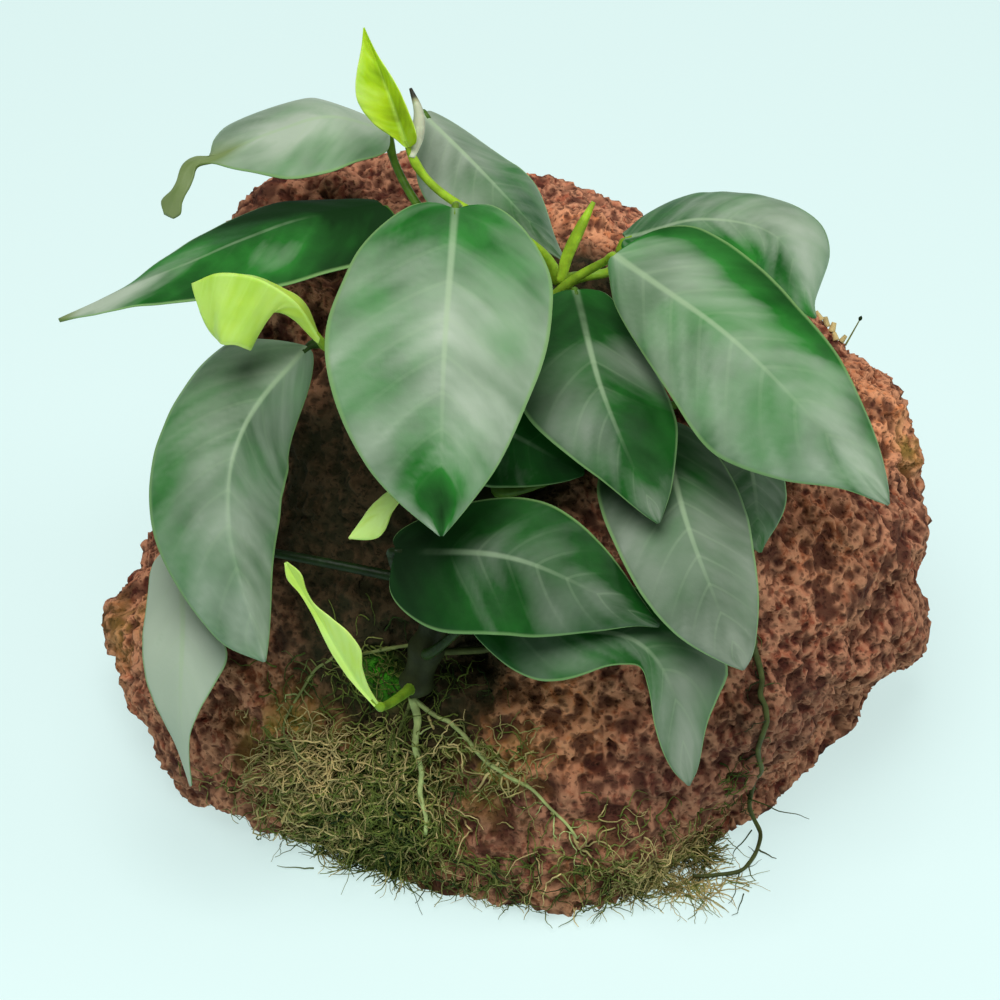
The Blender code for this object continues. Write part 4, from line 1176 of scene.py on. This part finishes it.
def build_loose_threads(ground, finish, rng):
    """Fine moss and root threads strewn on the rock, and hairs out over the table."""
    loose = Threads()
    for middle, reach, count, lengths, tones in LOOSE_THREADS:
        for _ in range(count):
            across = middle[0] + reach[0] * rng.gauss(0, 0.5)
            up = middle[1] + reach[1] * rng.gauss(0, 0.5)
            near, way_up = ground.nearest(ground.under_sight(across, up, 0))
            run = thread_over(ground, near + way_up * LOOSE_START * MM, random_turn(rng),
                              rng.uniform(*lengths), rng.uniform(*LOOSE_LIE), rng,
                              wander=0.5, fall=0.1, stray=30)
            slim = rng.uniform(*LOOSE_RADII)
            loose.add(run, tapered(slim, len(run)), THREAD_SIDES, rng.uniform(*tones))
    for places, radius, shade in STRANDS:
        run = lay_strand(ground, places, radius)
        loose.add(run, tapered(radius, len(run), 0.5), STRAND_SIDES, shade)
    for start, end in TABLE_HAIRS:
        run = hair_over_table(ground, start, end)
        loose.add(run, tapered(HAIR_RADIUS, len(run)), THREAD_SIDES, HAIR_SHADE)
    add_piece("loose_threads", loose.mesh(), finish, "moss")


# The blades of a tiny sprout on the rock's edge: how far across the view each stands, its
# height, its lean, its radius and its shade. The last one bears a dark bud.
SPROUT = (
    (76.6, 2.2, -1.4, 0.8, 1.0), (77.8, 2.5, -0.4, 0.95, 1.0), (78.9, 2.3, 0.7, 0.95, 0.95),
    (80.0, 1.9, -0.5, 0.9, 1.0), (81.1, 1.6, 1.3, 0.75, 0.9), (82.2, 6.0, 3.4, 0.24, 0.55),
)
SPROUT_SIGHT = 48
SPROUT_STEP = 0.4
BLADE_STEPS = 6
BUD_RADII = (0.15, 0.42, 0.5, 0.38, 0.05)
BUD_STEP = 0.3


def edge_below(ground, across, up):
    """The first spot of the rock under this spot of the view."""
    eye = seen(0, 0, VIEW_DISTANCE)
    foot = None
    while foot is None:
        foot = ground.finished[0].ray_cast(eye, seen(across, up, 0) - eye)[0]
        up -= SPROUT_STEP
    return foot


def build_sprout(ground, finish):
    """A tiny yellow sprout on the rock's upper right edge."""
    tuft = Threads()
    for across, height, lean, slim, shade in SPROUT:
        foot = edge_below(ground, across, SPROUT_SIGHT)
        tip = foot + (UP * height + ACROSS * lean) * MM
        run = [foot + (tip - foot) * (i / BLADE_STEPS) for i in range(BLADE_STEPS + 1)]
        tuft.add(run, tapered(slim, len(run), 0.6), STRAND_SIDES, shade)
    bud = [tip + (UP + 0.5 * ACROSS) * (i * BUD_STEP * MM) for i in range(len(BUD_RADII))]
    tuft.add(bud, [radius * MM for radius in BUD_RADII], ROOT_SIDES, 0.0)
    add_piece("sprout", tuft.mesh(), finish, "moss")


def main():
    """Builds everything, the rock first, because the rest lies on it."""
    noise.seed_set(SEED)
    finishes = build_finishes()
    rng = random.Random(SEED)
    ground = Ground()
    line = rhizome_line(ground)
    ground.finished.append(build_rock(line, finishes["lava_rock"]))
    beds = {name: build_bed(name, ground) for name in MATS}
    for name in BEDS:
        ground.finished.append(BVHTree.FromPolygons(beds[name][0].points, beds[name][1]))
    build_rhizome(line, finishes["rhizome"])
    for name, leaf in LEAVES.items():
        build_blade(name, leaf, finishes[leaf.kind])
        build_stalk(name, leaf, line, ground, finishes["stalk"])
    build_shoot(finishes["stalk"])
    build_sheath(finishes["sheath"])
    for name, values in ROOTS.items():
        build_root(name, *values, line, ground, finishes["root"], rng)
    for name, (bed, upper) in beds.items():
        grow_moss(name, bed, upper, ground, finishes["moss"], rng)
    build_loose_threads(ground, finishes["moss"], rng)
    build_sprout(ground, finishes["moss"])
    build_stage()
    build_lights()
    build_camera()


# Materials

class Shades:
    """Writes a material's or a group's nodes one after another."""

    def __init__(self, tree):
        self.tree = tree

    def node(self, kind, **settings):
        """A new shader node with these settings."""
        made = self.tree.nodes.new("ShaderNode" + kind)
        for key, value in settings.items():
            setattr(made, key, value)
        return made

    def feed(self, socket, value):
        """Links a socket to another, or gives it a plain value."""
        if isinstance(value, bpy.types.NodeSocket):
            self.tree.links.new(value, socket)
        elif isinstance(value, tuple) and len(value) == 3 and socket.type == "RGBA":
            socket.default_value = (*value, 1)
        else:
            socket.default_value = value

    def number(self, name):
        """A number that the mesh holds for each point."""
        return self.node("Attribute", attribute_name=name).outputs["Fac"]

    def math(self, operation, a, b=0.0, c=0.0, clamp=False):
        """The result of one Math node."""
        made = self.node("Math", operation=operation, use_clamp=clamp)
        for socket, value in zip(made.inputs, (a, b, c)):
            self.feed(socket, value)
        return made.outputs[0]

    def times(self, *values):
        """The product of these values."""
        product = values[0]
        for value in values[1:]:
            product = self.math("MULTIPLY", product, value)
        return product

    def rest(self, value):
        """What is left of 1."""
        return self.math("SUBTRACT", 1.0, value)

    def ramp(self, value, low, high):
        """0 below low, 1 above high and smooth between them."""
        made = self.node("MapRange", interpolation_type="SMOOTHSTEP")
        self.feed(made.inputs["Value"], value)
        self.feed(made.inputs["From Min"], low)
        self.feed(made.inputs["From Max"], high)
        return made.outputs["Result"]

    def mix(self, share, a, b, blend="MIX"):
        """The first colour turning into the second."""
        made = self.node("Mix", data_type="RGBA", blend_type=blend)
        for index, value in ((0, share), (6, a), (7, b)):
            self.feed(made.inputs[index], value)
        return made.outputs[2]

    def cover(self, under, mask, strength, over):
        """A colour covered by another where the mask says, and this strongly at most."""
        return self.mix(self.times(mask, strength), under, over)

    def noise(self, scale, detail=3.0, roughness=0.55):
        """Soft noise over the piece, with this many waves to the metre."""
        made = self.node("TexNoise")
        self.feed(made.inputs["Vector"], self.node("TexCoord").outputs["Object"])
        self.feed(made.inputs["Scale"], scale)
        self.feed(made.inputs["Detail"], detail)
        self.feed(made.inputs["Roughness"], roughness)
        return made.outputs["Fac"]

    def warped_cells(self, scale, warp):
        """How far it is to the middle of the nearest of many uneven cells."""
        place = self.node("TexCoord").outputs["Object"]
        drift = self.node("TexNoise")
        self.feed(drift.inputs["Vector"], place)
        self.feed(drift.inputs["Scale"], scale * 0.7)
        shift = self.node("VectorMath", operation="MULTIPLY_ADD")
        self.feed(shift.inputs[0], drift.outputs["Color"])
        self.feed(shift.inputs[1], (warp, warp, warp))
        self.feed(shift.inputs[2], place)
        cells = self.node("TexVoronoi", feature="F1")
        self.feed(cells.inputs["Vector"], shift.outputs["Vector"])
        self.feed(cells.inputs["Scale"], scale)
        return cells.outputs["Distance"]

    def bump(self, height, distance, strength):
        """A normal that follows this height."""
        made = self.node("Bump")
        self.feed(made.inputs["Height"], height)
        self.feed(made.inputs["Distance"], distance)
        self.feed(made.inputs["Strength"], strength)
        return made.outputs["Normal"]

    def group(self, tree, **inputs):
        """Places a node group with its own values."""
        made = self.node("Group", node_tree=tree)
        for name, value in inputs.items():
            self.feed(made.inputs[name], value)
        return made


def new_group(name, inputs, outputs):
    """A shader node group with named inputs and outputs, and its writer of nodes."""
    tree = bpy.data.node_groups.new(name, "ShaderNodeTree")
    for side, sockets in (("INPUT", inputs), ("OUTPUT", outputs)):
        for label, kind in sockets:
            tree.interface.new_socket(name=label, in_out=side, socket_type="NodeSocket" + kind)
    return tree, Shades(tree), tree.nodes.new("NodeGroupInput"), tree.nodes.new("NodeGroupOutput")


def mottling_group():
    """Two colours that run into each other in soft blotches."""
    tree, shades, given, gives = new_group(
        "mottling", (("Dark", "Color"), ("Pale", "Color"), ("Blotches", "Float")),
        (("Colour", "Color"), ("Share", "Float")))
    share = shades.ramp(shades.noise(given.outputs["Blotches"], 4), 0.35, 0.66)
    colour = shades.mix(share, given.outputs["Dark"], given.outputs["Pale"])
    shades.feed(gives.inputs["Colour"], colour)
    shades.feed(gives.inputs["Share"], share)
    return tree


def skin_group():
    """The fine grain of a plant's skin, as a height for a bump."""
    tree, shades, given, gives = new_group(
        "plant skin", (("Grain", "Float"), ("Wrinkle", "Float")), (("Height", "Float"),))
    grain = shades.noise(given.outputs["Grain"], 3)
    wrinkle = shades.times(shades.noise(180, 2), given.outputs["Wrinkle"])
    shades.feed(gives.inputs["Height"], shades.math("ADD", grain, wrinkle))
    return tree


# What the shader calls the values that a finish gives it.
SHADER_SOCKETS = {
    "roughness": "Roughness", "specular": "Specular IOR Level", "glow": "Subsurface Weight",
    "glow_depth": "Subsurface Scale", "glow_reach": "Subsurface Radius",
    "colour": "Base Color", "light": "Emission Color", "light_strength": "Emission Strength",
}


def new_finish(name, **plain):
    """A material with its writer of nodes and its shader, which gets the plain values."""
    finish = bpy.data.materials.new(name)
    finish.use_nodes = True
    shader = finish.node_tree.nodes["Principled BSDF"]
    for key, value in plain.items():
        shader.inputs[SHADER_SOCKETS[key]].default_value = value
    return finish, Shades(finish.node_tree), shader


# A leaf's colours where it is dry, where painted shade leaves its green bare and dark, and
# where painted shade darkens whole leaves.
DRY_BROWN = (0.12, 0.175, 0.028)
PAINTED_SHADE_GREEN = (0.001, 0.022, 0.001)
SHADED_GREEN = (0.003, 0.012, 0.003)


def leaf_finish(name, groups, deep, vivid, painted_sheen, midrib, margin, under, glow):
    """A leaf: painted sheen and shade, veins and margin on mottled green, and a paler underside.
    """
    finish, shades, shader = new_finish(name, specular=0.16, glow=glow, glow_depth=1.2 * MM,
                                        glow_reach=(0.5, 1.0, 0.15))
    along, off = shades.number("along"), shades.number("off_midrib")
    aside = shades.math("ABSOLUTE", shades.number("aside"))
    # Painted sheen: above 0 a pale grey-green painted reflection of the lamps, below 0 painted
    # shade of bare dark green.
    sheen_level = shades.number("painted_sheen")
    mottled = shades.group(groups["mottling"], Dark=deep, Pale=vivid, Blotches=55.0)
    cloud = shades.math("SUBTRACT", shades.noise(42, 3), 0.5)
    cloud = shades.math("MULTIPLY_ADD", cloud, 1.3, 1.0)
    pale = shades.times(shades.math("MAXIMUM", sheen_level, 0.0), cloud)
    colour = shades.mix(shades.math("MINIMUM", pale, 1.0), mottled.outputs["Colour"], painted_sheen)
    dark = shades.math("MAXIMUM", shades.times(sheen_level, -1.0), 0.0)
    colour = shades.mix(dark, colour, PAINTED_SHADE_GREEN)
    # Painted shade over whole leaves that lie in the shade of others.
    colour = shades.mix(shades.number("painted_leaf_shade"), colour, SHADED_GREEN)

    wave = shades.math("COSINE", shades.times(shades.number("vein"), 2 * math.pi))
    fade = shades.math("SUBTRACT", 1.0, aside, clamp=True)
    fade = shades.times(fade, shades.ramp(sheen_level, -0.3, 0.5))
    colour = shades.cover(colour, shades.times(shades.ramp(wave, 0.88, 1.0), fade), 0.15, midrib)
    width = shades.math("MULTIPLY_ADD", shades.rest(along), 0.7, 0.2)
    rib = shades.rest(shades.ramp(shades.math("DIVIDE", off, width), 0.3, 1.4))
    rib = shades.times(rib, shades.rest(shades.ramp(along, 0.3, 0.85)))
    rib = shades.times(rib, shades.ramp(sheen_level, -0.9, 0.35))
    colour = shades.cover(colour, rib, 0.6, midrib)
    colour = shades.cover(colour, shades.ramp(aside, 0.95, 0.99), 0.75, margin)
    below = shades.rest(shades.number("upper"))
    colour = shades.cover(colour, below, 0.75, under)
    colour = shades.cover(colour, shades.number("dried"), 0.8, DRY_BROWN)
    shades.feed(shader.inputs["Base Color"], colour)

    rough = shades.math("MULTIPLY_ADD", mottled.outputs["Share"], 0.14, 0.38)
    rough = shades.math("MULTIPLY_ADD", below, 0.2, rough)
    rough = shades.math("MULTIPLY_ADD", dark, 0.4, rough)
    shades.feed(shader.inputs["Roughness"], rough)
    skin = shades.group(groups["skin"], Grain=700.0, Wrinkle=0.8).outputs["Height"]
    shades.feed(shader.inputs["Normal"], shades.bump(skin, 0.1 * MM, 0.6))
    return finish


# The rock's colours: of its body, of its stains and of what covers it, and the painted
# highlight on its thin walls and painted shade down its bubbles and pits, on its lower faces
# and, partly damp, between the leaves.
MAROON = (0.19, 0.040, 0.022)
BRICK = (0.47, 0.15, 0.08)
RUST = (0.84, 0.30, 0.115)
SAND = (0.74, 0.34, 0.175)
WALL_HIGHLIGHT = (0.80, 0.42, 0.24)
LOWER_SHADE_SLATE = (0.10, 0.050, 0.042)
BUBBLE_SHADE = (0.05, 0.013, 0.010)
PIT_SHADE = (0.055, 0.014, 0.011)
OLIVE = (0.50, 0.35, 0.05)
PAINTED_SHADE_AND_DAMP = (0.016, 0.020, 0.008)
ALGAE = (0.05, 0.34, 0.012)

# The finest pits of the rock: how many to the metre, and how dark the painted shade in each
# size is.
FINE_PITS = ((380.0, 0.7), (760.0, 0.5))


def rock_finish(groups):
    """Rust and maroon lava, with painted highlight on its thin walls and painted shade down its
    bubbles.
    """
    finish, shades, shader = new_finish("lava rock", roughness=0.93, specular=0.1)
    mottled = shades.group(groups["mottling"], Dark=MAROON, Pale=BRICK, Blotches=70.0)
    colour = shades.cover(mottled.outputs["Colour"], shades.number("rust"), 0.8, RUST)
    colour = shades.cover(colour, shades.ramp(shades.noise(700, 4, 0.7), 0.48, 0.7), 0.5, SAND)
    # Painted highlight on the thin walls between the bubbles.
    colour = shades.cover(colour, shades.ramp(shades.number("wall"), 0.2, 1.0), 0.45, WALL_HIGHLIGHT)
    # Painted shade, purple-grey, on the rock's lower faces.
    colour = shades.cover(colour, shades.number("painted_lower_shade"), 0.6, LOWER_SHADE_SLATE)
    # Painted shade down the open bubbles.
    colour = shades.cover(colour, shades.ramp(shades.number("pore"), 0.1, 0.75), 0.85, BUBBLE_SHADE)
    height = shades.noise(1500, 4, 0.65)
    # Painted shade in the finest pits, which are bumps as well.
    for scale, darkness in FINE_PITS:
        rim = shades.ramp(shades.warped_cells(scale, 1.6 * MM), 0.14, 0.46)
        colour = shades.cover(colour, shades.rest(rim), darkness, PIT_SHADE)
        height = shades.math("ADD", height, rim)
    olive = shades.times(shades.number("olive"), shades.ramp(shades.noise(130, 4), 0.36, 0.58))
    colour = shades.cover(colour, olive, 0.75, OLIVE)
    # Painted shade, partly damp, between the leaves and along the rhizome.
    colour = shades.cover(colour, shades.number("painted_shade_and_damp"), 0.92, PAINTED_SHADE_AND_DAMP)
    colour = shades.mix(shades.number("algae"), colour, ALGAE)
    shades.feed(shader.inputs["Base Color"], colour)
    shades.feed(shader.inputs["Normal"], shades.bump(height, 0.45 * MM, 0.9))
    return finish


def strand_finish(name, groups, dark, middle, pale, roughness, glow=0.0):
    """A finish for stems, roots and moss, from dark to pale by each thread's shade."""
    finish, shades, shader = new_finish(name, roughness=roughness, specular=0.15, glow=glow,
                                        glow_depth=MM)
    shade = shades.number("shade")
    colour = shades.mix(shades.ramp(shade, 0.0, 0.5), dark, middle)
    colour = shades.mix(shades.ramp(shade, 0.45, 1.0), colour, pale)
    mottled = shades.group(groups["mottling"], Dark=(0.62, 0.62, 0.62), Pale=(1.0, 1.0, 1.0),
                           Blotches=260.0)
    colour = shades.mix(1.0, colour, mottled.outputs["Colour"], "MULTIPLY")
    shades.feed(shader.inputs["Base Color"], colour)
    skin = shades.group(groups["skin"], Grain=1200.0, Wrinkle=1.0).outputs["Height"]
    shades.feed(shader.inputs["Normal"], shades.bump(skin, 0.15 * MM, 0.7))
    return finish


def build_finishes():
    """Every finish of the plant and its rock, by the piece that it is for."""
    groups = {"mottling": mottling_group(), "skin": skin_group()}
    return {
        GREEN: leaf_finish(
            "leaf", groups, deep=(0.007, 0.085, 0.008), vivid=(0.020, 0.18, 0.020),
            painted_sheen=(0.355, 0.43, 0.325), midrib=(0.32, 0.44, 0.26), margin=(0.22, 0.40, 0.13),
            under=(0.10, 0.22, 0.08), glow=0.0),
        FRESH: leaf_finish(
            "fresh leaf", groups, deep=(0.31, 0.52, 0.01), vivid=(0.47, 0.66, 0.015),
            painted_sheen=(0.50, 0.72, 0.20), midrib=(0.55, 0.80, 0.20), margin=(0.60, 0.80, 0.20),
            under=(0.36, 0.66, 0.06), glow=0.2),
        "lava_rock": rock_finish(groups),
        # The rhizome's dark colours are painted shade.
        "rhizome": strand_finish("rhizome", groups, (0.010, 0.016, 0.004), (0.12, 0.13, 0.04),
                                 (0.2, 0.2, 0.07), 0.6),
        "stalk": strand_finish("stalk", groups, (0.010, 0.026, 0.005), (0.10, 0.22, 0.02),
                               (0.36, 0.58, 0.03), 0.42, 0.1),
        "sheath": strand_finish("sheath", groups, (0.03, 0.03, 0.02), (0.34, 0.36, 0.20),
                                (0.68, 0.72, 0.50), 0.5, 0.1),
        "root": strand_finish("root", groups, (0.03, 0.04, 0.015), (0.16, 0.19, 0.05),
                              (0.54, 0.64, 0.24), 0.65),
        "moss": strand_finish("moss", groups, (0.015, 0.038, 0.006), (0.17, 0.22, 0.04),
                              (0.72, 0.56, 0.24), 0.8),
    }


# Floor, lights and camera

FLOOR_COLOUR = (0.24, 0.296, 0.292, 1)
FLOOR_LIGHT = (0.753, 0.956, 0.930, 1)
FLOOR_GLOW = 0.696
FLOOR_SIZE = 4
ROOM_COLOUR = (0.92, 1.0, 0.98, 1)
ROOM_GLOW = 0.12
PLANT_MIDDLE = Vector((0, 0, 0.08))

# The lamps: where each stands, its width and its power.
LAMPS = {
    "overhead": ((-0.1, -0.4, 1.0), 0.7, 10.3),
    "right": ((0.8, -0.1, 0.7), 0.5, 3),
    "behind": ((-0.1, 0.9, 0.6), 0.8, 1.6),
}


def build_stage():
    """A plain pale floor that runs well past the picture."""
    bm = bmesh.new()
    bmesh.ops.create_grid(bm, x_segments=1, y_segments=1, size=FLOOR_SIZE)
    mesh = bpy.data.meshes.new("floor")
    bm.to_mesh(mesh)
    bm.free()
    floor = bpy.data.objects.new("floor", mesh)
    mesh.materials.append(new_finish("floor", colour=FLOOR_COLOUR, roughness=0.95, specular=0.0,
                                     light=FLOOR_LIGHT, light_strength=FLOOR_GLOW)[0])
    bpy.context.scene.collection.objects.link(floor)


def soft_light(name, place, size, power):
    """A round soft light that faces the plant."""
    data = bpy.data.lights.new(name, "AREA")
    data.shape = "DISK"
    data.size = size
    data.energy = power
    lamp = bpy.data.objects.new(name, data)
    lamp.location = place
    towards = PLANT_MIDDLE - lamp.location
    lamp.rotation_euler = towards.to_track_quat("-Z", "Y").to_euler()
    bpy.context.scene.collection.objects.link(lamp)


def build_lights():
    """Soft lamps round the plant, in a faintly lit pale room."""
    for name, lamp in LAMPS.items():
        soft_light(name, *lamp)
    world = bpy.data.worlds.new("studio")
    world.use_nodes = True
    background = world.node_tree.nodes["Background"]
    background.inputs["Color"].default_value = ROOM_COLOUR
    background.inputs["Strength"].default_value = ROOM_GLOW
    bpy.context.scene.world = world
    bpy.context.scene.view_settings.view_transform = "Standard"


def build_camera():
    """A long lens at the picture's angle."""
    data = bpy.data.cameras.new("camera")
    data.sensor_width = SENSOR_WIDTH
    data.lens = SENSOR_WIDTH * VIEW_DISTANCE / VIEW_WIDTH
    camera = bpy.data.objects.new("camera", data)
    camera.location = seen(0, 0, VIEW_DISTANCE)
    camera.rotation_euler = (-OUT).to_track_quat("-Z", "Y").to_euler()
    bpy.context.scene.collection.objects.link(camera)
    bpy.context.scene.camera = camera


main()
